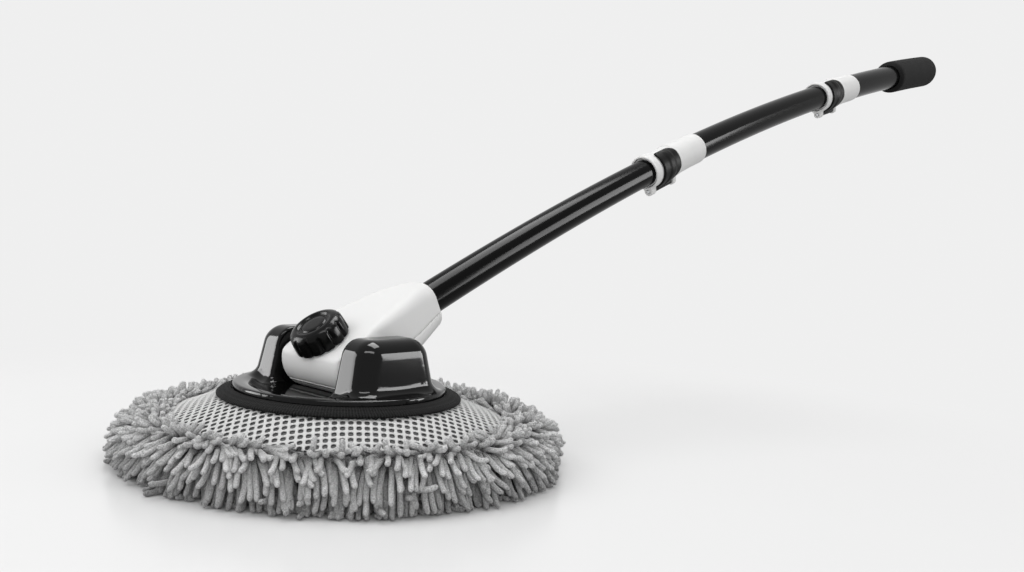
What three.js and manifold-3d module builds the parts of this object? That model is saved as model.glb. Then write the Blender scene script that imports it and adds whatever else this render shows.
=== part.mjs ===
// Telescopic car wash brush: an oval chenille mop head, a clamped swivel neck and a bent three-stage pole.
// Millimetres, +Z up. The origin is the middle of the head on the floor, +X is the way the pole leads.
import * as THREE from "three";
import { mergeVertices } from "three/addons/utils/BufferGeometryUtils.js";
import Module from "manifold-3d";

const wasm = await Module();
wasm.setup();

// Fits shared by the whole product
const restGap = 0.3; // between pieces that rest on each other
const slideGap = 0.3; // all round a piece that slides or turns in another

// Head: rings are given on the X axis, and the oval stretches them along Y
const headOval = 1.11;
const soleThickness = 6.5;
const solePadHeight = 13.7;
const coverOuterRadius = 103.5;
const coverThickness = 1.2;
const coverHem = 2;
const coverFit = 1.3; // round the plate's rim, under the cover
const solePadRadius = coverOuterRadius + 0.9;
const soleOverhang = 15.5; // from the cover's edge out to the sole's
const soleRadius = coverOuterRadius + soleOverhang;
const soleRounding = 2;
const coreLedgeRise = 10; // from the sole pad up to the ledge under the plate's rim
const coreRadius = solePadRadius;
const plateWall = 3;
const plateTopZ = 42.7;
const baseRadius = 66.3;
const plateFlatRadius = baseRadius + 0.2;
const plateRimRadius = coverOuterRadius - coverThickness - coverFit;
const plateConeRadius = plateRimRadius - 2;
const plateConeDrop = 12.8;
const bindingWidth = 9.4;
const bindingThickness = 2.6;

// Chenille pile: a fat ring of strands round a sewn backing roll
const pileRingOffset = 14.5; // from the cover's edge out to the middle of the backing roll
const pileRingRadius = coverOuterRadius + pileRingOffset;
const pileRingZ = 20;
const pileBackingRadius = 13;
const pileStrandLength = 10.6;
const pileSkirtLength = 12; // the lowest row, which rests on the floor
const pileStrandWidth = 9;
const pileFirstRow = -62; // degrees, 0 points outwards and 90 up
const pileLastRow = 126;
const pileRows = 5;
const pileStrandsPerRow = 15; // in each quarter
const pileLengthVariation = 0.1;

// Swivel base with its two ears
const baseThickness = 3.5;
const baseRimRise = 3.6;
const baseRimWidth = 6;
const hingeX = -5;
const hingeZ = 65;
const earWall = 3;
const earMiddleX = 1.5;
const earLength = 66;
const earTopLength = 31;
const earMargin = 10.6; // from an ear's foot to the flange's edge
const earTopThickness = 12.5;
const earTop = 83.5;
const earCorner = 12;
const axleRadius = 5;
const axleFlat = 3.6; // from the axle's centre to the flat under each end
const axleSeatDepth = 14;
const saddleBlockLength = 28;
const saddleFootThickness = 3;
const saddleScrewSpread = 9.8;
const baseScrewSpread = 25;
const baseScrewInset = 14;
const bossRadius = 4;

// Neck
const restElevation = THREE.MathUtils.degToRad(25.7);
const barrelRadius = 21;
const barrelLength = 66;
const barrelFillet = 4;
const washerThickness = 0.9;
const washerRadius = 11;
const neckLength = 85;
const neckWall = 3;
const neckTop = 19.2;
const neckBottom = 18.4;
const mouthRadius = 14.2; // the tube sits high in the mouth, whose underside keeps the neck's depth
const socketDepth = 52;
const socketWall = 2.2;
const anchorFromMouth = 33; // the tube's anchor screw
const partingDrop = 6.6;
const seatHeight = 15.2;
const seatLean = THREE.MathUtils.degToRad(10);
const axleHubWall = 3.3;

// Clamp: knob, captive screw, clip and the brake shoe on its thread
const knobRadius = 18.6;
const knobHeight = 15;
const knobFlutes = 13;
const knobFluteDepth = 1.3;
const screwRadius = 2.5;
const shoeWidth = 14;
const shoeThickness = 4.5;
const shoeLift = 1;
const clipThickness = 0.8;
const clipRadius = 5;

// Pole: every tube is bent to the same radius, so each slides along the next
const poleRadius = 3800;
const tubeWall = 0.8;
const lowerTubeRadius = 12;
const middleTubeRadius = lowerTubeRadius + slideGap + tubeWall;
const upperTubeRadius = middleTubeRadius + slideGap + tubeWall;
const lowerExposed = 275; // neck mouth to the lower lock's mouth
const middleExposed = 252; // lower lock's top to the upper lock's mouth
const upperExposed = 117; // upper lock's top to the grip
const lowerOverlap = 60; // lower tube inside the middle tube's lock and bore
const middleOverlap = 60;
const guideDepth = 14; // how far a guide bush plugs into its tube
const guideFlange = 3.7;
const tubeSides = 16;
const tubeRingStep = 66;

// Locks
const lockLength = 83;
const jawLength = 40.4;
const linerWall = 0.9;
const jawWall = 1.1;
const sleeveWall = 1;
const ringRise = 0.9;
const leverStart = 9.2;
const leverWidth = 27;
const leverThickness = 2.2;
const leverSweep = 156; // degrees, from below round the near side to the top
const leverRidge = 0.7;
const pinRadius = 1.6;
const hubRadius = 2.9;
const ribLength = 3.6; // the rib above the lever
const padLength = 17;
const padWidth = 6.4;
const slitWidth = 2;
const slitTurn = 145; // degrees from the top to the jaws' slit, round the far side
const bossBeyond = 1.2; // how far the pin's boss passes the rib

// Grip
const gripLength = 115;
const gripRadius = 19.6;
const gripChamfer = 3.6;
const gripEndRadius = 9;
const gripEndWall = 5;
const plugDepth = 10;
const plugFlange = 2.6;

// Screws
const screwShank = 1.5;
const screwHeadRadius = 2.7;
const screwHeadHeight = 1.8;
const neckScrewLength = 16;
const neckScrewSink = 6.9; // from the neck's underside to the seats of its screws
const anchorScrewSink = 4.2;
const saddleScrewLength = 12;
const baseScrewLength = 15;
const anchorScrewLength = 6;

function finish(colour, roughness, metalness = 0) {
  return new THREE.MeshStandardMaterial({ color: colour, roughness, metalness });
}

const finishes = {
  pile: finish(0x8f8f8f, 0.95),
  sponge: finish(0x6d6d6a, 0.95),
  mesh: finish(0xb5b5b3, 0.9),
  elastic: finish(0x1b1b1b, 0.9),
  blackGloss: finish(0x0a0a0a, 0.18),
  blackMatt: finish(0x1d1d1d, 0.6),
  white: finish(0xf0f0ee, 0.35),
  tube: finish(0x0b0b0b, 0.22, 0.4),
  foam: finish(0x262626, 0.9),
  steel: finish(0xb9bbbd, 0.35, 0.9),
};

// Solids: a closed geometry becomes one with its shared vertices merged, and comes back after the cuts

function solid(geometry) {
  const bare = geometry.clone();
  bare.deleteAttribute("normal");
  bare.deleteAttribute("uv");
  const merged = mergeVertices(bare, 1e-4);
  const index = merged.index.array;
  const kept = [];
  for (let i = 0; i < index.length; i += 3) {
    const [a, b, c] = [index[i], index[i + 1], index[i + 2]];
    if (a !== b && b !== c && c !== a) kept.push(a, b, c);
  }
  const vertices = new Float32Array(merged.attributes.position.array);
  const build = (triangles) =>
    new wasm.Manifold(
      new wasm.Mesh({ numProp: 3, vertProperties: vertices, triVerts: new Uint32Array(triangles) }),
    );
  const shape = build(kept);
  return shape.volume() < 0 ? build(kept.reverse()) : shape;
}

function geometryOf(shape) {
  const out = shape.getMesh();
  const points = new Float32Array(out.numVert * 3);
  for (let i = 0; i < out.numVert; i++) {
    points.set(out.vertProperties.subarray(i * out.numProp, i * out.numProp + 3), i * 3);
  }
  const geometry = new THREE.BufferGeometry();
  geometry.setAttribute("position", new THREE.BufferAttribute(points, 3));
  geometry.setIndex(new THREE.BufferAttribute(new Uint32Array(out.triVerts), 1));
  geometry.computeVertexNormals();
  return geometry;
}

function moved(shape, x, y, z) {
  return solid(geometryOf(shape).translate(x, y, z));
}

function piece(name, shape, material) {
  const mesh = new THREE.Mesh(geometryOf(shape), material);
  mesh.name = name;
  return mesh;
}

// Turned about the X axis: stations are [x, radius] pairs, listed with x rising along the outside
function turnedX(stations, sides = 24) {
  const profile = stations.map(([x, r]) => new THREE.Vector2(r, x));
  return new THREE.LatheGeometry(profile, sides).rotateZ(-Math.PI / 2);
}

// Turned about the Y axis, from [y, radius] pairs
function turnedY(stations, sides = 24) {
  return new THREE.LatheGeometry(stations.map(([y, r]) => new THREE.Vector2(r, y)), sides);
}

// Turned about the Z axis, from [radius, z] pairs with z rising along the outside
function turnedZ(stations, sides = 24) {
  const profile = stations.map(([r, z]) => new THREE.Vector2(r, z));
  return new THREE.LatheGeometry(profile, sides).rotateX(Math.PI / 2);
}

// An oval ring or dish of the head, stretched along Y
function oval(stations, sides = 32) {
  return turnedZ(stations, sides).scale(1, headOval, 1);
}

function block(x0, x1, y0, y1, z0, z1) {
  const box = new THREE.BoxGeometry(x1 - x0, y1 - y0, z1 - z0);
  return box.translate((x0 + x1) / 2, (y0 + y1) / 2, (z0 + z1) / 2);
}

function rodX(radius, x0, x1, y, z, sides = 12) {
  return turnedX([[x0, 0], [x0, radius], [x1, radius], [x1, 0]], sides).translate(0, y, z);
}

function rodZ(radius, z0, z1, x, y, sides = 8) {
  return turnedZ([[0, z0], [radius, z0], [radius, z1], [0, z1]], sides).translate(x, y, 0);
}

// A skin through rings of equally many points, closed by a fan at each end
function skin(rings) {
  const count = rings[0].length;
  const points = rings.flat();
  const index = [];
  for (let r = 0; r + 1 < rings.length; r++) {
    for (let i = 0; i < count; i++) {
      const j = (i + 1) % count;
      const [a, b, c, d] = [r * count + i, r * count + j, (r + 1) * count + j, (r + 1) * count + i];
      index.push(a, b, c, a, c, d);
    }
  }
  const lastRing = (rings.length - 1) * count;
  if (count === 3) {
    index.push(2, 1, 0, lastRing, lastRing + 1, lastRing + 2);
  } else {
    const middle = (ring) => ring.reduce((sum, p) => sum.add(p), new THREE.Vector3()).divideScalar(count);
    const first = points.push(middle(rings[0])) - 1;
    const last = points.push(middle(rings[rings.length - 1])) - 1;
    for (let i = 0; i < count; i++) {
      const j = (i + 1) % count;
      index.push(first, j, i, last, lastRing + i, lastRing + j);
    }
  }
  const geometry = new THREE.BufferGeometry().setFromPoints(points);
  geometry.setIndex(index);
  return geometry;
}

// A rectangle with round corners as a ring of points: place(a, b) puts each one in space
function roundedRing(left, right, bottom, top, corner, steps, place) {
  const radius = Math.min(corner, (right - left) / 2, (top - bottom) / 2);
  const centres = [
    [right - radius, top - radius],
    [left + radius, top - radius],
    [left + radius, bottom + radius],
    [right - radius, bottom + radius],
  ];
  return centres.flatMap(([a, b], quarter) =>
    Array.from({ length: steps + 1 }, (_, k) => {
      const angle = ((quarter + k / steps) * Math.PI) / 2;
      return place(a + radius * Math.cos(angle), b + radius * Math.sin(angle));
    }),
  );
}

// A screw standing head down: its head's seat is at z = 0
function screw(length) {
  return solid(
    turnedZ(
      [
        [0, -screwHeadHeight],
        [screwHeadRadius, -screwHeadHeight],
        [screwHeadRadius, 0],
        [screwShank, 0],
        [screwShank, length - 2],
        [0, length],
      ],
      8,
    ),
  );
}

// Head

const coreLedgeZ = solePadHeight + restGap + coreLedgeRise;
const plateUnder = plateTopZ - plateWall;
const coneSlope = plateConeDrop / (plateConeRadius - plateFlatRadius);
const coneLift = Math.hypot(1, coneSlope); // vertical gap for one across the cone
const baseUnder = plateTopZ + restGap;
const dishZ = baseUnder + baseThickness;

function coneZ(radius) {
  return plateTopZ - coneSlope * Math.max(0, radius - plateFlatRadius);
}

function chenilleSole() {
  return solid(
    oval([
      [0, 0],
      [soleRadius - soleRounding, 0],
      [soleRadius, soleRounding],
      [soleRadius, soleThickness],
      [solePadRadius, soleThickness],
      [solePadRadius, solePadHeight],
      [0, solePadHeight],
    ]),
  );
}

const baseScrews = [-1, 1].flatMap((side) =>
  [-1, 1].map((end) => [earMiddleX + end * baseScrewSpread, side * (barrelLength / 2 + baseScrewInset)]),
);

function spongeCore() {
  const bottom = solePadHeight + restGap;
  const innerRadius = plateConeRadius - plateWall / 2;
  let core = solid(
    oval([
      [0, bottom],
      [coreRadius, bottom],
      [coreRadius, coreLedgeZ],
      [innerRadius, coreLedgeZ],
      [innerRadius, coneZ(innerRadius) - (plateWall + restGap) * coneLift],
      [plateFlatRadius - plateWall / 2, plateUnder - restGap],
      [0, plateUnder - restGap],
    ]),
  );
  for (const [x, y] of baseScrews) {
    core = core.subtract(solid(rodZ(screwHeadRadius + 1, plateUnder - 5, plateUnder, x, y)));
  }
  return core;
}

function supportPlate() {
  const rimBottom = coreLedgeZ + restGap;
  let plate = solid(
    oval([
      [0, plateUnder],
      [plateFlatRadius - 1, plateUnder],
      [plateConeRadius - 1, coneZ(plateConeRadius - 1) - plateWall * coneLift],
      [plateConeRadius - 1, rimBottom],
      [plateRimRadius, rimBottom],
      [plateRimRadius, coneZ(plateConeRadius) - 2],
      [plateConeRadius, coneZ(plateConeRadius)],
      [plateFlatRadius, plateTopZ],
      [0, plateTopZ],
    ]),
  );
  for (const [x, y] of baseScrews) {
    plate = plate.subtract(solid(rodZ(screwShank + slideGap, plateUnder - 1, plateTopZ + 1, x, y)));
  }
  return plate;
}

function meshCover() {
  const under = (r) => coneZ(r) + restGap * coneLift;
  const over = (r) => under(r) + coverThickness * coneLift;
  const hem = coneZ(coverOuterRadius) - coverHem;
  return solid(
    oval([
      [plateFlatRadius, under(plateFlatRadius)],
      [coverOuterRadius - coverThickness, under(coverOuterRadius - coverThickness)],
      [coverOuterRadius - coverThickness, hem],
      [coverOuterRadius, hem],
      [coverOuterRadius, over(coverOuterRadius)],
      [plateFlatRadius, over(plateFlatRadius)],
      [plateFlatRadius, under(plateFlatRadius)],
    ]),
  );
}

function elasticBinding() {
  const lift = (restGap * 2 + coverThickness) * coneLift;
  const inner = baseRadius + restGap + 0.2;
  const outer = inner + bindingWidth;
  const under = (r) => coneZ(r) + lift;
  const crown = 0.7;
  return solid(
    oval([
      [inner, under(inner)],
      [outer, under(outer)],
      [outer, under(outer) + bindingThickness - crown],
      [outer - crown, under(outer) + bindingThickness],
      [inner, under(inner) + bindingThickness],
      [inner, under(inner)],
    ]),
  );
}

// A place in the pile: round the head, then outwards and up from the middle of the backing roll
function pilePlace(angle, outward, up) {
  const radius = pileRingRadius + outward;
  return new THREE.Vector3(radius * Math.cos(angle), headOval * radius * Math.sin(angle), pileRingZ + up);
}

// One quarter of the pile: a roll of backing with strands standing on it in staggered rows
function chenilleQuarter(quarter) {
  const arcSteps = 5;
  const rollSides = 6;
  const quarterTurn = Math.PI / 2;
  const trim = 0.012; // keeps neighbouring quarters apart
  const rings = Array.from({ length: arcSteps + 1 }, (_, k) => {
    const angle = (quarter + trim + ((1 - 2 * trim) * k) / arcSteps) * quarterTurn;
    return Array.from({ length: rollSides }, (_, i) => {
      const turn = (2 * Math.PI * (i + 0.5)) / rollSides;
      return pilePlace(angle, pileBackingRadius * Math.cos(turn), pileBackingRadius * Math.sin(turn));
    });
  });
  let pile = solid(skin(rings));
  for (let row = 0; row < pileRows; row++) {
    const turn = pileFirstRow + ((pileLastRow - pileFirstRow) * row) / (pileRows - 1);
    const lean = THREE.MathUtils.degToRad(turn);
    for (let k = 0; k < pileStrandsPerRow; k++) {
      const angle = (quarter + (k + (row % 2 ? 0.3 : 0.7)) / pileStrandsPerRow) * quarterTurn;
      const vary = 1 + pileLengthVariation * Math.sin(5.1 * k + 2.3 * row + 1.7 * quarter);
      const length = row === 0 ? pileSkirtLength : pileStrandLength * vary;
      pile = pile.add(solid(strand(angle, lean, pileBackingRadius + length)));
    }
  }
  const reach = 2 * pileRingRadius;
  return pile.subtract(solid(block(-reach, reach, -reach, reach, -reach, 0)));
}

// A three-sided strand that swells from its root to a blunt end
function strand(angle, lean, tip) {
  const root = pileBackingRadius * 0.7;
  const along = pilePlace(angle + 0.001, 0, 0).sub(pilePlace(angle, 0, 0)).normalize();
  const across = pilePlace(angle, -Math.sin(lean), Math.cos(lean)).sub(pilePlace(angle, 0, 0)).normalize();
  const ring = (reach, width) =>
    [0, 1, 2].map((corner) => {
      const turn = (2 * Math.PI * corner) / 3 + Math.PI / 2;
      return pilePlace(angle, reach * Math.cos(lean), reach * Math.sin(lean))
        .addScaledVector(along, (width / 2) * Math.cos(turn))
        .addScaledVector(across, (width / 2) * Math.sin(turn));
    });
  return skin([ring(root, pileStrandWidth * 0.3), ring(tip, pileStrandWidth)]);
}

// Swivel base: a dished oval flange with a well for the barrel, and a hollow ear each side of it

const earInner = barrelLength / 2 + washerThickness + 2 * slideGap;
const seatEnd = earInner + axleSeatDepth;
const earThickness = baseRadius * headOval - earMargin - earInner;

// An ear's levels: how far up it, and how much of its taper in length and in thickness is done there
const earLevels = [
  [0, 0, 0],
  [0.72, 0.18, 0.2],
  [0.86, 0.34, 0.36],
  [0.955, 0.62, 0.66],
  [1, 1, 1],
];

function earSkin(side, inset) {
  const sections = earLevels.map(([share, shorten, thin], level) => {
    const height = baseUnder + share * (earTop - baseUnder);
    const half = earLength / 2 - (shorten * (earLength - earTopLength)) / 2 - inset;
    const outer = earInner + earThickness - thin * (earThickness - earTopThickness) - inset;
    const sink = level === 0 ? 1 : (inset * level) / (earLevels.length - 1);
    const z = inset === 0 ? height : height - sink;
    return roundedRing(-half, half, earInner + inset, outer, earCorner - inset, 3, (a, b) =>
      new THREE.Vector3(earMiddleX + a, side * b, z),
    );
  });
  return solid(skin(sections));
}

function saddleSlot(side, clearance) {
  const half = axleRadius + clearance;
  const length = seatEnd - earInner + 2 * clearance + 2;
  const middle = (side * (earInner + seatEnd + clearance)) / 2;
  const end = length / 2;
  const rod = solid(turnedY([[-end, 0], [-end, half], [end, half], [end, 0]], 16));
  const well = block(-half, half, middle - length / 2, middle + length / 2, baseUnder - 2, hingeZ);
  return moved(rod, hingeX, middle, hingeZ).add(solid(well.translate(hingeX, 0, 0)));
}

function swivelBase() {
  const rimTop = dishZ + baseRimRise;
  let base = solid(
    oval([
      [0, baseUnder],
      [baseRadius - 1.4, baseUnder],
      [baseRadius, baseUnder + 1.6],
      [baseRadius, rimTop - 2],
      [baseRadius - 2, rimTop],
      [baseRadius - baseRimWidth, rimTop - 1],
      [baseRadius - 2 * baseRimWidth, dishZ],
      [0, dishZ],
    ]),
  );
  const sides = [-1, 1];
  for (const side of sides) base = base.add(earSkin(side, 0));
  const wellLength = barrelRadius + 1.8;
  const well = block(-wellLength, wellLength, -earInner, earInner, baseUnder - 1, dishZ + 1);
  base = base.subtract(solid(well.translate(hingeX, 0, 0)));
  for (const side of sides) base = hollowEar(base, side);
  return base;
}

// The ear is hollow from below, apart from the axle's block and two screw bosses
function hollowEar(base, side) {
  const blockHalf = saddleBlockLength / 2;
  const blockEnd = seatEnd + earWall;
  const footTop = baseUnder + restGap + saddleFootThickness;
  const axleBlock = block(-blockHalf, blockHalf, 0, blockEnd, footTop + restGap, earTop);
  axleBlock.translate(hingeX, 0, 0);
  if (side < 0) axleBlock.rotateZ(Math.PI).translate(2 * hingeX, 0, 0);
  let hollow = earSkin(side, earWall).subtract(solid(axleBlock));
  for (const [x, y] of baseScrews) {
    if (y * side < 0) continue;
    hollow = hollow.subtract(solid(rodZ(bossRadius, baseUnder - 2, earTop, x, y)));
    const bore = rodZ(screwShank + slideGap, baseUnder - 2, baseUnder + baseScrewLength, x, y);
    base = base.subtract(solid(bore));
  }
  const foot = block(
    hingeX - blockHalf - slideGap,
    hingeX + blockHalf + slideGap,
    Math.min(side * earInner, side * (blockEnd + slideGap)) + (side < 0 ? 0 : -1),
    Math.max(side * earInner, side * (blockEnd + slideGap)) + (side < 0 ? 1 : 0),
    baseUnder - 1,
    footTop + restGap,
  );
  base = base.subtract(hollow).subtract(solid(foot)).subtract(saddleSlot(side, slideGap));
  for (const end of [-1, 1]) {
    const [x, y] = [hingeX + end * saddleScrewSpread, side * (earInner + axleSeatDepth / 2)];
    const bore = rodZ(screwShank + slideGap, footTop - 1, footTop + saddleScrewLength, x, y);
    base = base.subtract(solid(bore));
  }
  return base;
}

function hingeAxle() {
  const chamfer = 1;
  let axle = solid(
    turnedY(
      [
        [-seatEnd, 0],
        [-seatEnd, axleRadius - chamfer],
        [-seatEnd + chamfer, axleRadius],
        [seatEnd - chamfer, axleRadius],
        [seatEnd, axleRadius - chamfer],
        [seatEnd, 0],
      ],
      16,
    ),
  );
  for (const side of [-1, 1]) {
    const flat = block(-axleRadius - 1, axleRadius + 1, earInner, seatEnd + 1, -axleRadius - 1, -axleFlat);
    if (side < 0) flat.rotateZ(Math.PI);
    axle = axle.subtract(solid(flat));
  }
  return moved(axle, hingeX, 0, hingeZ);
}

function saddleCap(side) {
  const footBottom = baseUnder + restGap;
  const footTop = footBottom + saddleFootThickness;
  const blockHalf = saddleBlockLength / 2;
  const inner = earInner + slideGap;
  const foot = block(-blockHalf, blockHalf, inner, seatEnd + earWall, footBottom, footTop);
  const post = block(-axleRadius, axleRadius, inner, seatEnd, footTop - 1, hingeZ - axleFlat - restGap);
  let cap = solid(foot).add(solid(post));
  for (const end of [-1, 1]) {
    const [x, y] = [end * saddleScrewSpread, earInner + axleSeatDepth / 2];
    cap = cap.subtract(solid(rodZ(screwShank + slideGap, footBottom - 1, footTop + 1, x, y)));
    cap = cap.subtract(solid(rodZ(screwHeadRadius + slideGap, footBottom - 1, footTop - 1, x, y)));
  }
  const geometry = geometryOf(cap);
  if (side < 0) geometry.rotateZ(Math.PI);
  return solid(geometry.translate(hingeX, 0, 0));
}

function saddleScrew(side, end) {
  const seat = baseUnder + restGap + saddleFootThickness - 1;
  const [x, y] = [hingeX + end * saddleScrewSpread, side * (earInner + axleSeatDepth / 2)];
  return moved(screw(saddleScrewLength - 1), x, y, seat - 0.1);
}

function baseScrew([x, y]) {
  return moved(screw(baseScrewLength + plateWall), x, y, plateUnder - restGap);
}

function thrustWasher(side) {
  const near = barrelLength / 2 + slideGap;
  const far = near + washerThickness;
  const ring = turnedY(
    [
      [near, axleRadius + slideGap],
      [near, washerRadius],
      [far, washerRadius],
      [far, axleRadius + slideGap],
      [near, axleRadius + slideGap],
    ],
    14,
  );
  if (side < 0) ring.rotateZ(Math.PI);
  return solid(ring.translate(hingeX, 0, hingeZ));
}

// Neck: local x runs from the hinge to the mouth, local z is up across it

// Where the pole's centre line runs: straight out of the mouth, then bending down about its far centre
function bend(geometry, start = 0) {
  const points = geometry.getAttribute("position");
  for (let i = 0; i < points.count; i++) {
    const angle = (start + points.getX(i)) / poleRadius;
    const reach = poleRadius + points.getZ(i);
    points.setX(i, neckLength + reach * Math.sin(angle));
    points.setZ(i, reach * Math.cos(angle) - poleRadius);
  }
  return geometry;
}

// The neck's cross-sections: [x, half width, top, bottom, corner radius]
const neckSections = [
  [2, barrelLength / 2 - 0.5, neckTop, neckBottom, 5],
  [22, barrelLength / 2 - 2, neckTop, neckBottom, 6],
  [38, barrelLength / 2 - 5.5, neckTop, neckBottom, 7],
  [52, mouthRadius + 9.6, neckTop, neckBottom, 8],
  [64, mouthRadius + 5.3, neckTop - 0.6, neckBottom, 9],
  [75, mouthRadius + 1.9, mouthRadius + 2.2, neckBottom, 11],
  [neckLength - 2, mouthRadius, mouthRadius + 0.4, neckBottom - 0.4, 12],
  [neckLength, mouthRadius - 1, mouthRadius - 0.8, neckBottom - 1.6, 11],
];

function neckSkin(sections, inset) {
  const rings = sections
    .map(([x, half, top, bottom, corner]) =>
      roundedRing(inset - half, half - inset, inset - bottom, top - inset, corner - inset, 3, (a, b) =>
        new THREE.Vector3(x, a, b),
      ),
    );
  return solid(skin(rings));
}

function barrel(radius, length, fillet) {
  const half = length / 2;
  const corner = [1, 2].map((k) => {
    const angle = (k * Math.PI) / 4;
    return [half - fillet + fillet * Math.sin(angle), radius - fillet + fillet * Math.cos(angle)];
  });
  const edge = [[half - fillet, radius], ...corner];
  const mirrored = edge.map(([y, r]) => [-y, r]).reverse();
  return turnedY([[-half, 0], ...mirrored, ...edge, [half, 0]], 20);
}

// Everything beyond a plane square to the knob's axis, at a distance from the hinge
function aboveSeat(height) {
  const reach = 60;
  return solid(block(-reach, reach, -reach, reach, height, height + reach).rotateY(-seatLean));
}

const neckScrews = [
  [28, 23],
  [28, -23],
  [58, 15.5],
  [58, -15.5],
];
const anchorPlace = neckLength - anchorFromMouth;
const neckScrewSeat = neckScrewSink - neckBottom;
const anchorScrewSeat = anchorScrewSink - neckBottom;

function neckCavity() {
  const roomRadius = barrelRadius - neckWall;
  const roomHalf = barrelLength / 2 - neckWall;
  const roomProfile = [[-roomHalf, 0], [-roomHalf, roomRadius], [roomHalf, roomRadius], [roomHalf, 0]];
  const barrelRoom = solid(turnedY(roomProfile, 16));
  const roomSections = [neckSections[0], neckSections[2], neckSections[4]];
  let room = barrelRoom.add(neckSkin(roomSections, neckWall)).subtract(aboveSeat(seatHeight - neckWall));
  const hub = turnedY(
    [
      [-barrelLength, 0],
      [-barrelLength, axleRadius + slideGap + axleHubWall],
      [barrelLength, axleRadius + slideGap + axleHubWall],
      [barrelLength, 0],
    ],
    12,
  );
  const socketRadius = lowerTubeRadius + slideGap + socketWall;
  const socketEnd = -socketDepth - 3;
  const socket = bend(turnedX([[socketEnd, 0], [socketEnd, socketRadius], [5, socketRadius], [5, 0]], 12));
  const keel = block(neckLength - socketDepth - 3, neckLength, -6, 6, -neckBottom, 0);
  const guideHalf = shoeWidth / 2 + slideGap + 2.4;
  const guide = block(-guideHalf, guideHalf, -guideHalf, guideHalf, 0, barrelRadius).rotateY(-seatLean);
  for (const kept of [hub, socket, keel, guide]) room = room.subtract(solid(kept));
  for (const [x, y] of neckScrews) {
    room = room.subtract(solid(rodZ(bossRadius, -neckBottom - 2, neckTop, x, y)));
  }
  return room;
}

function neckBody() {
  let neck = solid(barrel(barrelRadius, barrelLength, barrelFillet)).add(neckSkin(neckSections, 0));
  neck = neck.subtract(aboveSeat(seatHeight)).subtract(neckCavity());
  const axleBore = axleRadius + slideGap;
  const bore = [[-barrelLength, 0], [-barrelLength, axleBore], [barrelLength, axleBore], [barrelLength, 0]];
  neck = neck.subtract(solid(turnedY(bore, 16)));
  const tubeBore = lowerTubeRadius + slideGap;
  const boreRings = [-socketDepth - restGap, -socketDepth / 2, 0, 5];
  neck = neck.subtract(
    solid(bend(turnedX([[boreRings[0], 0], ...boreRings.map((s) => [s, tubeBore]), [5, 0]], tubeSides))),
  );
  const pocketHalf = shoeWidth / 2 + slideGap;
  const pocket = block(-pocketHalf, pocketHalf, -pocketHalf, pocketHalf, 0, seatHeight - neckWall);
  const screwHole = rodZ(screwRadius + slideGap, 0, seatHeight + 2, 0, 0);
  for (const cut of [pocket, screwHole]) neck = neck.subtract(solid(cut.rotateY(-seatLean)));
  for (const [x, y] of neckScrews) neck = screwBore(neck, x, y, neckScrewSeat, neckScrewLength);
  return screwBore(neck, anchorPlace, 0, anchorScrewSeat, anchorScrewLength);
}

// A bore with a sunk seat, cut into the neck from below
function screwBore(neck, x, y, seat, length) {
  const below = -neckBottom - 3;
  return neck
    .subtract(solid(rodZ(screwHeadRadius + slideGap, below, seat, x, y)))
    .subtract(solid(rodZ(screwShank + slideGap, below, seat + length + 1, x, y)));
}

function neckShell(neck, upper) {
  const reach = 2 * neckLength;
  const slab = upper
    ? block(-reach, reach, -reach, reach, -reach, restGap / 2 - partingDrop)
    : block(-reach, reach, -reach, reach, -restGap / 2 - partingDrop, reach);
  return neck.subtract(solid(slab));
}

function neckScrew([x, y]) {
  return moved(screw(neckScrewLength), x, y, neckScrewSeat - restGap);
}

function anchorScrew() {
  return moved(screw(anchorScrewLength), anchorPlace, 0, anchorScrewSeat - restGap);
}

// Clamp: its own z axis leans back from the neck and crosses the hinge axis

const knobFoot = seatHeight + 0.4;
const shoeTop = seatHeight - neckWall - clipThickness - 2 * restGap - shoeLift;

function knob() {
  const perFlute = 3;
  const count = knobFlutes * perFlute;
  const outline = (z, radius, depth) =>
    Array.from({ length: count }, (_, i) => {
      const r = radius - depth * [0, 0, 1][i % perFlute];
      const angle = (2 * Math.PI * i) / count;
      return new THREE.Vector3(r * Math.cos(angle), r * Math.sin(angle), z);
    });
  const top = knobFoot + knobHeight;
  const body = solid(
    skin([
      outline(knobFoot, knobRadius - 0.6, knobFluteDepth),
      outline(knobFoot + 1, knobRadius, knobFluteDepth),
      outline(top - 5.4, knobRadius - 0.5, knobFluteDepth),
      outline(top - 3, knobRadius - 1.6, knobFluteDepth * 0.25),
      outline(top - 0.9, knobRadius - 3.6, 0),
      outline(top, knobRadius - 6.2, 0),
      outline(top - 1.1, knobRadius - 9.2, 0),
    ]),
  );
  return body.subtract(solid(rodZ(screwRadius + slideGap, knobFoot - 1, top - 4, 0, 0)));
}

function clampScrew() {
  const tip = axleRadius + 1;
  const end = knobFoot + knobHeight - 4 - restGap;
  return solid(rodZ(screwRadius, tip, end, 0, 0));
}

function retainingClip() {
  const top = seatHeight - neckWall - restGap;
  return solid(
    turnedZ(
      [
        [screwRadius + 0.15, top - clipThickness],
        [clipRadius, top - clipThickness],
        [clipRadius, top],
        [screwRadius + 0.15, top],
        [screwRadius + 0.15, top - clipThickness],
      ],
      12,
    ),
  );
}

function brakeShoe() {
  const half = shoeWidth / 2;
  const bottom = shoeTop - shoeThickness - 2.2;
  const axle = turnedY(
    [
      [-shoeWidth, 0],
      [-shoeWidth, axleRadius + slideGap],
      [shoeWidth, axleRadius + slideGap],
      [shoeWidth, 0],
    ],
    16,
  );
  return solid(block(-half, half, -half, half, bottom, shoeTop))
    .subtract(solid(axle))
    .subtract(solid(rodZ(screwRadius + slideGap, 0, shoeTop + 1, 0, 0)));
}

// Pole pieces: x runs along the pole from the neck's mouth

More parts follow.
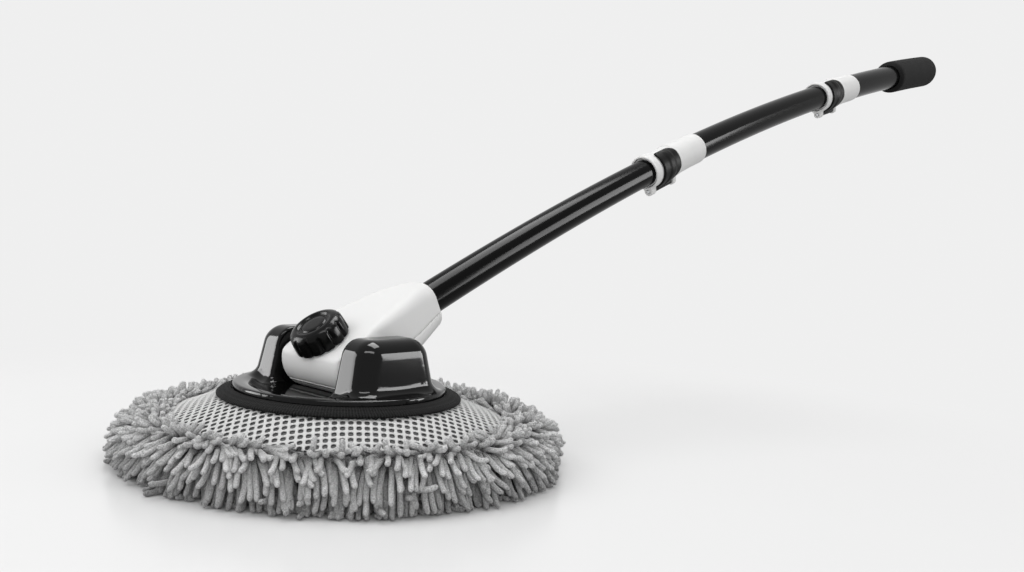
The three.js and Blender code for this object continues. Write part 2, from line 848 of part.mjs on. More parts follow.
const lowerLock = lowerExposed;
const upperLock = lowerLock + lockLength + middleExposed;
const gripStart = upperLock + lockLength + upperExposed;
const lowerEnd = lowerLock + lowerOverlap;
const middleEnd = upperLock + middleOverlap;
const gripEnd = gripStart + gripLength;
const upperEnd = gripEnd - gripEndWall - plugFlange - 2 * restGap;

function tube(radius, from, to) {
  const steps = Math.ceil((to - from) / tubeRingStep);
  const rings = Array.from({ length: steps + 1 }, (_, k) => from + ((to - from) * k) / steps);
  const outside = rings.map((s) => [s, radius]);
  const inside = rings.map((s) => [s, radius - tubeWall]).reverse();
  return solid(bend(turnedX([...outside, ...inside, outside[0]], tubeSides)));
}

function lowerTube() {
  const hole = rodZ(screwShank + slideGap, -lowerTubeRadius - 1, -4, anchorPlace, 0);
  return tube(lowerTubeRadius, -socketDepth, lowerEnd).subtract(solid(hole));
}

// A bush whose stem plugs a tube's upper end and whose collar runs in the next tube's bore
function guideBush(tubeRadius, end) {
  const stem = tubeRadius - tubeWall - restGap;
  const collar = tubeRadius;
  const bore = stem - 1.8;
  return solid(
    bend(
      turnedX(
        [
          [-guideDepth, bore],
          [-guideDepth, stem],
          [restGap, stem],
          [restGap, collar],
          [restGap + guideFlange, collar],
          [restGap + guideFlange, bore],
          [-guideDepth, bore],
        ],
        tubeSides,
      ),
      end,
    ),
  );
}

// A lock's radii, from the inner tube that it grips and the outer tube that it is fixed to
function lockRadii(innerTube) {
  const outerTube = innerTube + slideGap + tubeWall;
  const linerInner = innerTube + slideGap;
  const jawBore = linerInner + linerWall + restGap;
  const recess = jawBore + jawWall;
  const leverInner = recess + slideGap + 0.1;
  return {
    linerInner,
    jawBore,
    recess,
    leverInner,
    sleeveBore: outerTube + restGap,
    sleeve: outerTube + restGap + sleeveWall,
    ring: recess + ringRise,
    pinDrop: leverInner + hubRadius + 0.1,
  };
}

const leverEnd = leverStart + leverWidth;
const padStart = leverStart + (leverWidth - padLength) / 2;

// The room for the pressure pad, through the jaws and the liner
function padWindow(z0, z1) {
  const half = padWidth / 2 + slideGap;
  return block(padStart - slideGap, padStart + padLength + slideGap, -half, half, z0, z1);
}

// The slit that lets the jaws close, on the side away from the lever's tip
function jawSlit(from, inner, outer) {
  const slit = block(from, jawLength - 3, -slitWidth / 2, slitWidth / 2, inner, outer);
  return slit.rotateX(THREE.MathUtils.degToRad(-slitTurn));
}

function lockCollar(innerTube, place) {
  const r = lockRadii(innerTube);
  const ringEnd = leverStart - slideGap;
  const ribStart = leverEnd + slideGap;
  const ribEnd = ribStart + ribLength;
  let collar = solid(
    turnedX(
      [
        [0, r.jawBore + 0.7],
        [0, r.ring - 1.4],
        [1.4, r.ring],
        [ringEnd, r.ring],
        [ringEnd, r.recess],
        [ribStart, r.recess],
        [ribStart, r.ring],
        [ribEnd, r.ring - 0.4],
        [ribEnd + 0.4, r.sleeve + 0.5],
        [lockLength - 0.8, r.sleeve],
        [lockLength, r.sleeve - 0.6],
        [lockLength, r.sleeveBore],
        [jawLength, r.sleeveBore],
        [jawLength, r.jawBore],
        [0.8, r.jawBore],
        [0, r.jawBore + 0.7],
      ],
      20,
    ),
  );
  const bossRadiusHere = hubRadius + 0.6;
  for (const [from, to] of [
    [1.6, ringEnd],
    [ribStart, ribEnd + bossBeyond],
  ]) {
    const boss = solid(rodX(bossRadiusHere, from, to, 0, -r.pinDrop, 14));
    const web = solid(block(from, to, -bossRadiusHere, bossRadiusHere, -r.pinDrop, -r.jawBore - 0.6));
    collar = collar.add(boss).add(web);
  }
  const slit = jawSlit(-1, r.linerInner, r.ring + 2);
  const window = padWindow(-r.recess - 1, -r.linerInner);
  const pinHole = rodX(pinRadius + slideGap, -1, lockLength, 0, -r.pinDrop, 12);
  const trim = block(ribEnd + bossBeyond, lockLength + 1, -hubRadius, hubRadius, -r.pinDrop - 5, -r.ring);
  for (const cut of [slit, window, pinHole, trim]) collar = collar.subtract(solid(cut));
  return solid(bend(geometryOf(collar), place));
}

function lockLiner(innerTube, place) {
  const r = lockRadii(innerTube);
  const outer = r.linerInner + linerWall;
  const liner = solid(
    turnedX(
      [
        [1.6, r.linerInner],
        [1.6, outer],
        [jawLength - restGap, outer],
        [jawLength - restGap, r.linerInner],
        [1.6, r.linerInner],
      ],
      tubeSides,
    ),
  );
  const slit = jawSlit(0, 0, r.ring);
  const window = padWindow(-r.ring, 0);
  return solid(bend(geometryOf(liner.subtract(solid(slit)).subtract(solid(window))), place));
}

function lockPad(innerTube, place) {
  const r = lockRadii(innerTube);
  const bar = solid(block(padStart, padStart + padLength, -padWidth / 2, padWidth / 2, -r.ring, 0));
  const round = solid(rodX(r.leverInner - slideGap, 0, jawLength, 0, 0, 24));
  const tubeRoom = solid(rodX(r.linerInner, 0, jawLength, 0, 0, tubeSides));
  return solid(bend(geometryOf(bar.intersect(round).subtract(tubeRoom)), place));
}

function lockPin(innerTube, place) {
  const r = lockRadii(innerTube);
  const end = leverEnd + slideGap + ribLength + bossBeyond;
  const pin = turnedX([[1.2, 0], [1.2, pinRadius - 0.5], [1.7, pinRadius], [end, pinRadius], [end, 0]], 10);
  return solid(bend(pin.translate(0, 0, -r.pinDrop), place));
}

// The flip lever: a band with a raised ridge, round the near side from its hub below
function lockLever(innerTube, place) {
  const r = lockRadii(innerTube);
  const inner = r.leverInner;
  const outer = inner + leverThickness;
  const middle = leverStart + leverWidth / 2;
  const steps = 9;
  const first = 4;
  const rings = Array.from({ length: steps + 1 }, (_, k) => {
    const turn = first + ((leverSweep - first) * k) / steps;
    const fromTip = (leverSweep - turn) / 30;
    const fromRoot = (turn - first + 10) / 34;
    const round = (t) => Math.sqrt(Math.max(0, 1 - (1 - Math.min(t, 1)) ** 2));
    const half = (leverWidth / 2) * (0.45 + 0.55 * Math.min(round(fromTip), round(fromRoot)));
    const angle = THREE.MathUtils.degToRad(turn);
    const ridgeHalf = half * 0.28;
    const point = (x, radius) =>
      new THREE.Vector3(middle + x, -radius * Math.sin(angle), -radius * Math.cos(angle));
    return [
      point(-half, inner),
      point(-half, outer - 0.7),
      point(-half + 0.9, outer),
      point(-ridgeHalf - 1.4, outer),
      point(-ridgeHalf, outer + leverRidge),
      point(ridgeHalf, outer + leverRidge),
      point(ridgeHalf + 1.4, outer),
      point(half - 0.9, outer),
      point(half, outer - 0.7),
      point(half, inner),
    ];
  });
  const hub = solid(rodX(hubRadius, leverStart, leverEnd, 0, -r.pinDrop, 16));
  const band = solid(skin(rings));
  const pinHole = solid(rodX(pinRadius + slideGap, leverStart - 1, leverEnd + 1, 0, -r.pinDrop, 12));
  return solid(bend(geometryOf(band.add(hub).subtract(pinHole)), place));
}

function foamGrip() {
  const bore = upperTubeRadius + restGap;
  const inside = upperEnd + plugFlange + 2 * restGap;
  const corner = [1, 2, 3].map((k) => {
    const angle = (k * Math.PI) / 6;
    const [cut, rise] = [1 - Math.cos(angle), 1 - Math.sin(angle)];
    return [gripEnd - gripEndRadius * rise, gripRadius - gripEndRadius * cut];
  });
  const middle = (gripStart + gripEnd) / 2;
  return solid(
    bend(
      turnedX(
        [
          [inside, 0],
          [inside, bore],
          [middle, bore],
          [gripStart, bore],
          [gripStart, gripRadius - gripChamfer],
          [gripStart + gripChamfer, gripRadius - 0.3],
          [middle, gripRadius],
          [gripEnd - gripEndRadius, gripRadius],
          ...corner,
          [gripEnd, 0],
        ],
        tubeSides,
      ),
    ),
  );
}

function endPlug() {
  const stem = upperTubeRadius - tubeWall - restGap;
  const bore = stem - 2;
  return solid(
    bend(
      turnedX(
        [
          [-plugDepth, bore],
          [-plugDepth, stem],
          [restGap, stem],
          [restGap, upperTubeRadius],
          [restGap + plugFlange, upperTubeRadius],
          [restGap + plugFlange, 0],
          [restGap, 0],
          [restGap, bore],
          [-plugDepth, bore],
        ],
        tubeSides,
      ),
      upperEnd,
    ),
  );
}

// The assembly

const brush = new THREE.Group();
const head = new THREE.Group();
const neck = new THREE.Group();
const clamp = new THREE.Group();
neck.position.set(hingeX, 0, hingeZ);
neck.rotation.y = -restElevation;
clamp.rotation.y = -seatLean;
neck.add(clamp);
brush.add(head, neck);

const quarters = ["rear_left", "front_left", "front_right", "rear_right"];
quarters.forEach((place, k) => head.add(piece("chenille_pile_" + place, chenilleQuarter(k), finishes.pile)));
head.add(
  piece("chenille_sole", chenilleSole(), finishes.pile),
  piece("sponge_core", spongeCore(), finishes.sponge),
  piece("support_plate", supportPlate(), finishes.blackMatt),
  piece("mesh_cover", meshCover(), finishes.mesh),
  piece("elastic_binding", elasticBinding(), finishes.elastic),
  piece("swivel_base", swivelBase(), finishes.blackGloss),
  piece("hinge_axle", hingeAxle(), finishes.steel),
);
baseScrews.forEach((place, k) => head.add(piece("base_screw_" + (k + 1), baseScrew(place), finishes.steel)));
for (const [label, side] of [["left", 1], ["right", -1]]) {
  head.add(
    piece("saddle_cap_" + label, saddleCap(side), finishes.blackMatt),
    piece("saddle_screw_front_" + label, saddleScrew(side, -1), finishes.steel),
    piece("saddle_screw_rear_" + label, saddleScrew(side, 1), finishes.steel),
    piece("thrust_washer_" + label, thrustWasher(side), finishes.white),
  );
}

const neckWhole = neckBody();
neck.add(
  piece("neck_upper_shell", neckShell(neckWhole, true), finishes.white),
  piece("neck_lower_shell", neckShell(neckWhole, false), finishes.white),
  piece("tube_anchor_screw", anchorScrew(), finishes.steel),
  piece("tube_lower", lowerTube(), finishes.tube),
  piece("lower_guide_bush", guideBush(lowerTubeRadius, lowerEnd), finishes.white),
  piece("tube_middle", tube(middleTubeRadius, lowerLock + jawLength + restGap, middleEnd), finishes.tube),
  piece("middle_guide_bush", guideBush(middleTubeRadius, middleEnd), finishes.white),
  piece("tube_upper", tube(upperTubeRadius, upperLock + jawLength + restGap, upperEnd), finishes.tube),
  piece("foam_grip", foamGrip(), finishes.foam),
  piece("grip_end_plug", endPlug(), finishes.blackMatt),
);
neckScrews.forEach((place, k) => neck.add(piece("neck_screw_" + (k + 1), neckScrew(place), finishes.steel)));
for (const [label, innerTube, place] of [
  ["lower", lowerTubeRadius, lowerLock],
  ["upper", middleTubeRadius, upperLock],
]) {
  neck.add(
    piece(label + "_lock_collar", lockCollar(innerTube, place), finishes.white),
    piece(label + "_lock_liner", lockLiner(innerTube, place), finishes.blackMatt),
    piece(label + "_lock_pad", lockPad(innerTube, place), finishes.blackMatt),
    piece(label + "_lock_pin", lockPin(innerTube, place), finishes.steel),
    piece(label + "_lock_lever", lockLever(innerTube, place), finishes.blackGloss),
  );
}
clamp.add(
  piece("clamp_knob", knob(), finishes.blackGloss),
  piece("clamp_screw", clampScrew(), finishes.steel),
  piece("retaining_clip", retainingClip(), finishes.steel),
  piece("brake_shoe", brakeShoe(), finishes.blackMatt),
);

export default brush;
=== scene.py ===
import math

import bpy
import numpy as np
from mathutils import Matrix, Vector


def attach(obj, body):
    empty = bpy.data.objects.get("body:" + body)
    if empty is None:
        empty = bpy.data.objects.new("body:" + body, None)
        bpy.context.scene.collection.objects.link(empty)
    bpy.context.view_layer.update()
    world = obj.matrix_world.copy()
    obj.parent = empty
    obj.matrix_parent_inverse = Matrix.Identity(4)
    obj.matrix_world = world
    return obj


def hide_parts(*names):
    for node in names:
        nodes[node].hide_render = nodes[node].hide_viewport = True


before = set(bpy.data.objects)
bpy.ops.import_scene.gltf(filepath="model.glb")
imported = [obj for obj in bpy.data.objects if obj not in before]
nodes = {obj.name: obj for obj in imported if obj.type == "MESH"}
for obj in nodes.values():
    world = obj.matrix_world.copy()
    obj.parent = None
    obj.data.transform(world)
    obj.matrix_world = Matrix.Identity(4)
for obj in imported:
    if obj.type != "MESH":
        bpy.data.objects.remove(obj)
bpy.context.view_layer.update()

# Studio: the camera stands a little above the head's mesh, to the front right of the pole, and the floor runs
# into a pale backdrop. Broad lamps light the brush from above and from three sides, and four soft boxes, which
# only gloss shows, give the black pieces the long highlights that they have in the photograph.

eye = Vector((-0.3724, -0.5112, 0.152))
forward = Vector((0.7201, 0.6918, -0.0541)).normalized()
roll = math.radians(2.6)
level_right = forward.cross(Vector((0, 0, 1))).normalized()
level_up = level_right.cross(forward)
right = math.cos(roll) * level_right + math.sin(roll) * level_up
up = math.cos(roll) * level_up - math.sin(roll) * level_right
camera_data = bpy.data.cameras.new("photo_camera")
camera_data.sensor_width = 36
camera_data.lens = 33.4
camera_data.clip_start = 0.02
camera = bpy.data.objects.new("photo_camera", camera_data)
camera.matrix_world = Matrix.Translation(eye) @ Matrix((right, up, -forward)).transposed().to_4x4()
bpy.context.scene.collection.objects.link(camera)
bpy.context.scene.camera = camera
bpy.context.scene.view_settings.view_transform = "Standard"


def add_node(tree, kind, inputs=None, **settings):
    node = tree.nodes.new(kind)
    for key, value in settings.items():
        setattr(node, key, value)
    for key, value in (inputs or {}).items():
        if isinstance(value, bpy.types.NodeSocket):
            tree.links.new(value, node.inputs[key])
        else:
            node.inputs[key].default_value = value
    return node


def field_math(tree, operation, *values):
    return add_node(tree, "ShaderNodeMath", dict(enumerate(values)), operation=operation).outputs[0]


def map_range(tree, *values, **settings):
    """A value, the two ends of its range, and the two ends that they become."""
    return add_node(tree, "ShaderNodeMapRange", dict(enumerate(values)), **settings).outputs[0]


def looking(tree):
    """1 for a ray that looks, straight or by gloss or through glass, and 0 for one that only carries light."""
    path = add_node(tree, "ShaderNodeLightPath").outputs
    seen = field_math(tree, "MAXIMUM", path["Is Camera Ray"], path["Is Glossy Ray"])
    return field_math(tree, "MAXIMUM", seen, path["Is Transmission Ray"])


def mix_shaders(tree, share, first, second):
    return add_node(tree, "ShaderNodeMixShader", {0: share, 1: first.outputs[0], 2: second.outputs[0]})


backdrop_grey = (0.865, 0.865, 0.865, 1)
world = bpy.data.worlds.new("studio")
world.use_nodes = True
bpy.context.scene.world = world
tree = world.node_tree
tree.nodes.clear()
ambient = add_node(tree, "ShaderNodeBackground", {"Color": (1, 1, 1, 1), "Strength": 0.4})
shown = add_node(tree, "ShaderNodeBackground", {"Color": backdrop_grey, "Strength": 1.0})
mixed = mix_shaders(tree, looking(tree), ambient, shown)
add_node(tree, "ShaderNodeOutputWorld", {"Surface": mixed.outputs[0]})

floor_half = 6.0
floor_mesh = bpy.data.meshes.new("floor")
corners = [(x * floor_half, y * floor_half, 0) for x, y in ((-1, -1), (1, -1), (1, 1), (-1, 1))]
floor_mesh.from_pydata(corners, [], [(0, 1, 2, 3)])
floor = bpy.data.objects.new("floor", floor_mesh)
bpy.context.scene.collection.objects.link(floor)
floor_finish = bpy.data.materials.new("floor")
floor_finish.use_nodes = True
tree = floor_finish.node_tree
tree.nodes.clear()
place = add_node(tree, "ShaderNodeTexCoord").outputs["Object"]
centred = add_node(tree, "ShaderNodeMapping", {"Vector": place, "Scale": (1.6, 1.6, 1.6)})
fade = add_node(tree, "ShaderNodeTexGradient", {"Vector": centred.outputs[0]}, gradient_type="SPHERICAL")
near = map_range(tree, fade.outputs["Fac"], 0.0, 0.45, 0.0, 1.0, interpolation_type="SMOOTHSTEP")
sheet = add_node(tree, "ShaderNodeBsdfPrincipled", {
    "Base Color": (0.82, 0.82, 0.82, 1), "Roughness": 0.22, "Specular IOR Level": 0.2})
far = add_node(tree, "ShaderNodeEmission", {"Color": backdrop_grey, "Strength": 1.0})
bounce = add_node(tree, "ShaderNodeBsdfDiffuse", {"Color": (0.5, 0.5, 0.5, 1)})
above_ground = mix_shaders(tree, looking(tree), bounce, mix_shaders(tree, near, far, sheet))
clear = add_node(tree, "ShaderNodeBsdfTransparent")
below = add_node(tree, "ShaderNodeNewGeometry").outputs["Backfacing"]
both_sides = mix_shaders(tree, below, above_ground, clear)
add_node(tree, "ShaderNodeOutputMaterial", {"Surface": both_sides.outputs[0]})
floor_mesh.materials.append(floor_finish)
not_glossed = bpy.data.collections.new("not_glossed")
not_glossed.objects.link(floor)
not_glossed.collection_objects[0].light_linking.link_state = "EXCLUDE"


def lamp(name, azimuth, height, distance, width, tall, radiance, gloss):
    """A soft box that looks at the brush: azimuth and height as angles seen from the brush, in degrees."""
    target = Vector((0.3, 0, 0.15))
    a, e = math.radians(azimuth), math.radians(height)
    place = target + distance * Vector((math.cos(a) * math.cos(e), math.sin(a) * math.cos(e), math.sin(e)))
    data = bpy.data.lights.new(name, "AREA")
    data.shape = "RECTANGLE"
    data.size = width
    data.size_y = tall
    data.energy = radiance * math.pi * width * tall
    obj = bpy.data.objects.new(name, data)
    obj.location = place
    obj.rotation_euler = (target - place).to_track_quat("-Z", "Y").to_euler()
    obj.visible_camera = False
    obj.visible_diffuse = not gloss
    obj.visible_glossy = gloss
    if gloss:
        obj.light_linking.receiver_collection = not_glossed
    bpy.context.scene.collection.objects.link(obj)


lamp("overhead", 60, 80, 2.2, 2.4, 2.4, 1.6, gloss=False)
lamp("front_fill", -126, 16, 2.3, 2.0, 1.3, 2.1, gloss=False)
lamp("left_fill", 160, 35, 2.2, 1.4, 1.4, 2.2, gloss=False)
lamp("right_fill", -50, 30, 2.4, 1.4, 1.4, 0.6, gloss=False)
lamp("box_above", 15, 80, 2.4, 1.6, 1.2, 15, gloss=True)
lamp("box_right", -46, 13, 2.6, 1.1, 1.2, 20, gloss=True)
lamp("box_left", 136, 10, 2.2, 1.1, 1.1, 11, gloss=True)
lamp("strip_front", -140, 52, 2.2, 1.8, 0.35, 14, gloss=True)

# Chenille pile: a fat ring of microfibre strands, each about 3.3 mm thick and 14 mm long, sewn by its root
# to the side of the mop cover. They were combed outwards and droop, and the inner rows curl over the mesh.

mm = 0.001
head_oval = 1.11
inner_seam = 103
ring_height = 18.5
quarter_names = ("rear_left", "front_left", "front_right", "rear_right")


def mesh_object(name, points, faces, material=None):
    mesh = bpy.data.meshes.new(name)
    mesh.from_pydata([tuple(p) for p in points], [], [tuple(int(i) for i in f) for f in faces])
    mesh.validate()
    mesh.shade_smooth()
    if material:
        mesh.materials.append(material)
    obj = bpy.data.objects.new(name, mesh)
    bpy.context.scene.collection.objects.link(obj)
    return obj


def keep_result(obj):
    """The evaluated mesh takes the place of the mesh and its modifiers."""
    depsgraph = bpy.context.evaluated_depsgraph_get()
    finished = bpy.data.meshes.new_from_object(obj.evaluated_get(depsgraph))
    finish = [m for m in finished.materials if m][0]
    finished.materials.clear()
    finished.materials.append(finish)
    finished.polygons.foreach_set("material_index", [0] * len(finished.polygons))
    obj.modifiers.clear()
    obj.data = finished
    finished.name = obj.name
    return obj


def grow(obj, tree, **settings):
    """Runs a geometry tree on an object, with its named inputs, and keeps the result."""
    modifier = obj.modifiers.new(tree.name, "NODES")
    modifier.node_group = tree
    for item in tree.interface.items_tree:
        key = item.name.lower().replace(" ", "_")
        if item.in_out == "INPUT" and key in settings:
            modifier[item.identifier] = settings.pop(key)
    assert not settings, settings
    return keep_result(obj)


def new_tree(name, sockets):
    """A geometry tree with named inputs, the sockets of those inputs, and the node for its result."""
    tree = bpy.data.node_groups.new(name, "GeometryNodeTree")
    for label, kind, value in sockets:
        socket = tree.interface.new_socket(label, in_out="INPUT", socket_type="NodeSocket" + kind)
        if value is not None:
            socket.default_value = value
    tree.interface.new_socket("Geometry", in_out="OUTPUT", socket_type="NodeSocketGeometry")
    return tree, tree.nodes.new("NodeGroupInput").outputs, tree.nodes.new("NodeGroupOutput")


def vector_math(tree, operation, *values, **sockets):
    inputs = {**dict(enumerate(values)), **sockets}
    return add_node(tree, "ShaderNodeVectorMath", inputs, operation=operation).outputs[0]


def named(tree, name, kind="FLOAT"):
    return add_node(tree, "GeometryNodeInputNamedAttribute", {"Name": name},
                    data_type=kind).outputs["Attribute"]


def xyz(tree, x=0.0, y=0.0, z=0.0):
    return add_node(tree, "ShaderNodeCombineXYZ", {"X": x, "Y": y, "Z": z}).outputs[0]


def moved(tree, geometry, **where):
    """The geometry with its points at another Position, or shifted by an Offset."""
    return add_node(tree, "GeometryNodeSetPosition", {"Geometry": geometry, **where}).outputs[0]


def realized(tree, instances):
    return add_node(tree, "GeometryNodeRealizeInstances", {"Geometry": instances.outputs[0]}).outputs[0]


def joined(tree, *parts):
    both = tree.nodes.new("GeometryNodeJoinGeometry")
    for part in parts:
        tree.links.new(part, both.inputs[0])
    return both.outputs[0]


def end_tree(tree, result, geometry, material):
    """Shades the geometry smooth, gives it its material and hands it out."""
    smooth = add_node(tree, "GeometryNodeSetShadeSmooth", {"Geometry": geometry}).outputs[0]
    smooth = add_node(tree, "GeometryNodeSetMaterial", {"Geometry": smooth, "Material": material}).outputs[0]
    tree.links.new(smooth, result.inputs[0])


tree, given, result = new_tree("chenille strands", [
    ("Geometry", "Geometry", None),
    ("Spacing", "Float", 2.75 * mm),
    ("Length", "Float", 14 * mm),
    ("Thickness", "Float", 3.3 * mm),
    ("Lift", "Float", 0.8),
    ("Lie", "Float", 0.55),
    ("Droop", "Float", 0.25),
    ("Tangle", "Float", 0.3),
    ("Seed", "Int", 1),
    ("Material", "Material", None),
])
strand_tree = tree
shortest, longest = 0.8, 1.15
sway_share, combed_share = 0.36, 0.55
blunt = 0.98
roots = add_node(tree, "GeometryNodeDistributePointsOnFaces", {
    "Mesh": given["Geometry"], "Selection": named(tree, "sewn", "BOOLEAN"), "Distance Min": given["Spacing"],
    "Density Max": 400000.0, "Seed": given["Seed"]}, distribute_method="POISSON").outputs
shade = add_node(tree, "FunctionNodeRandomValue", data_type="FLOAT").outputs[1]
shaded = add_node(tree, "GeometryNodeStoreNamedAttribute", {
    "Geometry": roots["Points"], "Name": "strand_shade", "Value": shade}, data_type="FLOAT", domain="POINT")
wander = add_node(tree, "FunctionNodeRandomValue", {
    0: (-1, -1, -1), 1: (1, 1, 1), "Seed": given["Seed"]}, data_type="FLOAT_VECTOR").outputs[0]
flow = named(tree, "flow", "FLOAT_VECTOR")
aim = vector_math(tree, "SCALE", roots["Normal"], Scale=given["Lift"])
aim = vector_math(tree, "ADD", aim, vector_math(tree, "SCALE", flow, Scale=given["Lie"]))
aim = vector_math(tree, "ADD", aim, vector_math(tree, "SCALE", wander, Scale=given["Tangle"]))
turned = add_node(tree, "FunctionNodeAlignRotationToVector", {"Vector": aim}, axis="Z")
longer = add_node(tree, "FunctionNodeRandomValue", {2: shortest, 3: longest}, data_type="FLOAT").outputs[1]
line = add_node(tree, "GeometryNodeCurvePrimitiveLine", {"Start": (0, 0, 0), "End": (0, 0, 1)})
line = add_node(tree, "GeometryNodeResampleCurve", {"Curve": line.outputs[0], "Count": 9})
share = add_node(tree, "GeometryNodeSplineParameter").outputs["Factor"]
to_tip = field_math(tree, "SUBTRACT", 1.0, share)
crowded = field_math(tree, "SUBTRACT", 1.0, field_math(tree, "POWER", to_tip, 2.0))
spaced = moved(tree, line.outputs[0], Position=xyz(tree, z=crowded))
marked = add_node(tree, "GeometryNodeStoreNamedAttribute", {
    "Geometry": spaced, "Name": "strand_along", "Value": crowded}, data_type="FLOAT", domain="POINT")
own_length = field_math(tree, "MULTIPLY", given["Length"], named(tree, "reach"))
reach = field_math(tree, "MULTIPLY", own_length, longer)
loose = realized(tree, add_node(tree, "GeometryNodeInstanceOnPoints", {
    "Points": shaded.outputs[0], "Instance": marked.outputs[0], "Rotation": turned.outputs[0],
    "Scale": xyz(tree, 1.0, 1.0, reach)}))
along = named(tree, "strand_along")
where = add_node(tree, "GeometryNodeInputPosition").outputs[0]
waver = add_node(tree, "ShaderNodeTexNoise", {"Vector": where, "Scale": 42.0, "Detail": 1.0}).outputs["Color"]
waver = vector_math(tree, "SUBTRACT", waver, (0.5, 0.5, 0.5))
sway = field_math(tree, "MULTIPLY", along, field_math(tree, "MULTIPLY", own_length, sway_share))
waver = vector_math(tree, "SCALE", waver, Scale=sway)
fall = vector_math(tree, "SCALE", flow, Scale=field_math(tree, "MULTIPLY", given["Lie"], combed_share))
fall = vector_math(tree, "ADD", fall, xyz(tree, z=field_math(tree, "MULTIPLY", given["Droop"], -1.0)))
curl = field_math(tree, "MULTIPLY", field_math(tree, "MULTIPLY", along, along), own_length)
fall = vector_math(tree, "SCALE", fall, Scale=curl)
bent = moved(tree, loose, Offset=vector_math(tree, "ADD", fall, waver))
half = field_math(tree, "MULTIPLY", given["Thickness"], 0.5)
past_tip = field_math(tree, "DIVIDE", field_math(tree, "MULTIPLY", given["Length"], to_tip), half)
past_tip = field_math(tree, "SUBTRACT", blunt, field_math(tree, "MINIMUM", past_tip, blunt))
rounding = field_math(tree, "SUBTRACT", 1.0, field_math(tree, "MULTIPLY", past_tip, past_tip))
rounding = field_math(tree, "SQRT", rounding)
lumps = add_node(tree, "ShaderNodeTexNoise", {"Vector": where, "Scale": 260.0, "Detail": 1.0}).outputs["Fac"]
lumps = field_math(tree, "MULTIPLY_ADD", lumps, 0.2, 0.9)
thick = field_math(tree, "MULTIPLY", field_math(tree, "MULTIPLY", half, rounding), lumps)
parts = add_node(tree, "ShaderNodeSeparateXYZ", {0: where}).outputs
above = field_math(tree, "MAXIMUM", parts["Z"], field_math(tree, "MULTIPLY", half, 1.1))
standing = moved(tree, bent, Position=xyz(tree, parts["X"], parts["Y"], above))
section = add_node(tree, "GeometryNodeCurvePrimitiveCircle", {"Resolution": 7, "Radius": 1.0}).outputs[0]
strands = add_node(tree, "GeometryNodeCurveToMesh", {
    "Curve": standing, "Profile Curve": section, "Scale": thick, "Fill Caps": True}).outputs[0]
end_tree(tree, result, joined(tree, strands, given["Geometry"]), given["Material"])


def new_material(name, **sockets):
    """A material, its node tree and its shader, with constants on the shader's own sockets."""
    material = bpy.data.materials.new(name)
    material.use_nodes = True
    shader = material.node_tree.nodes["Principled BSDF"]
    for key, value in sockets.items():
        shader.inputs[key.replace("_", " ")].default_value = value
    return material, material.node_tree, shader


# Chenille yarn: short cut fibres stand out all round, so it is matt. Its grey holds painted shade: pale at
# the strands' tips, painted dark towards their roots, where shade falls between the strands, and painted
# darker still towards the floor
yarn_grey = 0.68
chenille, tree, yarn = new_material(
    "chenille_yarn", Roughness=0.95, Sheen_Weight=0.5, Sheen_Roughness=0.4, Specular_IOR_Level=0.05)
place = add_node(tree, "ShaderNodeTexCoord").outputs["Object"]
fibre = add_node(tree, "ShaderNodeTexNoise", {
    "Vector": place, "Scale": 1100.0, "Detail": 2.0, "Roughness": 0.6}).outputs["Fac"]
strand_shade = add_node(tree, "ShaderNodeAttribute", attribute_name="strand_shade").outputs["Fac"]
strand_along = add_node(tree, "ShaderNodeAttribute", attribute_name="strand_along").outputs["Fac"]
height = add_node(tree, "ShaderNodeSeparateXYZ", {0: place}).outputs["Z"]
value = yarn_grey
# Painted shade: the first factor darkens each strand towards its root and the last darkens the yarn towards the
# floor; the fibre speckle and each strand's random tone are the yarn's own.
for factor in (map_range(tree, strand_along, 0.1, 1.0, 0.1, 1.0), map_range(tree, fibre, 0.3, 0.7, 0.6, 1.25),
               map_range(tree, strand_shade, 0.0, 1.0, 0.85, 1.12),
               map_range(tree, height, 0.0, 0.022, 0.42, 1.0)):
    value = field_math(tree, "MULTIPLY", factor, value)
grey = add_node(tree, "ShaderNodeCombineColor", {0: value, 1: value, 2: value})
bump = add_node(tree, "ShaderNodeBump", {"Height": fibre, "Strength": 1.0, "Distance": 0.0016})
tree.links.new(grey.outputs[0], yarn.inputs["Base Color"])
tree.links.new(bump.outputs[0], yarn.inputs["Normal"])


def mark(obj, sewn, flow, reach):
    """Marks the faces that carry strands, and at each corner which way and how far the strands reach."""
    attribute = obj.data.attributes.new("sewn", "BOOLEAN", "FACE")
    attribute.data.foreach_set("value", np.asarray(sewn, bool))
    attribute = obj.data.attributes.new("flow", "FLOAT_VECTOR", "POINT")
    attribute.data.foreach_set("vector", np.asarray(flow, np.float32).ravel())
    attribute = obj.data.attributes.new("reach", "FLOAT", "POINT")
    attribute.data.foreach_set("value", np.asarray(reach, np.float32))


def grid_faces(rows, columns, close_rows=False, close_columns=False):
    faces = []
    for i in range(rows if close_rows else rows - 1):
        for j in range(columns if close_columns else columns - 1):
            k, l = (i + 1) % rows, (j + 1) % columns
            faces.append((i * columns + j, k * columns + j, k * columns + l, i * columns + l))
    return faces


def capped_faces(rows, columns):
    """A grid that closes round its columns, with a cap on its first and on its last row."""
    first, last = range(columns), range((rows - 1) * columns, rows * columns)
    return grid_faces(rows, columns, close_columns=True) + [tuple(first), tuple(reversed(last))]


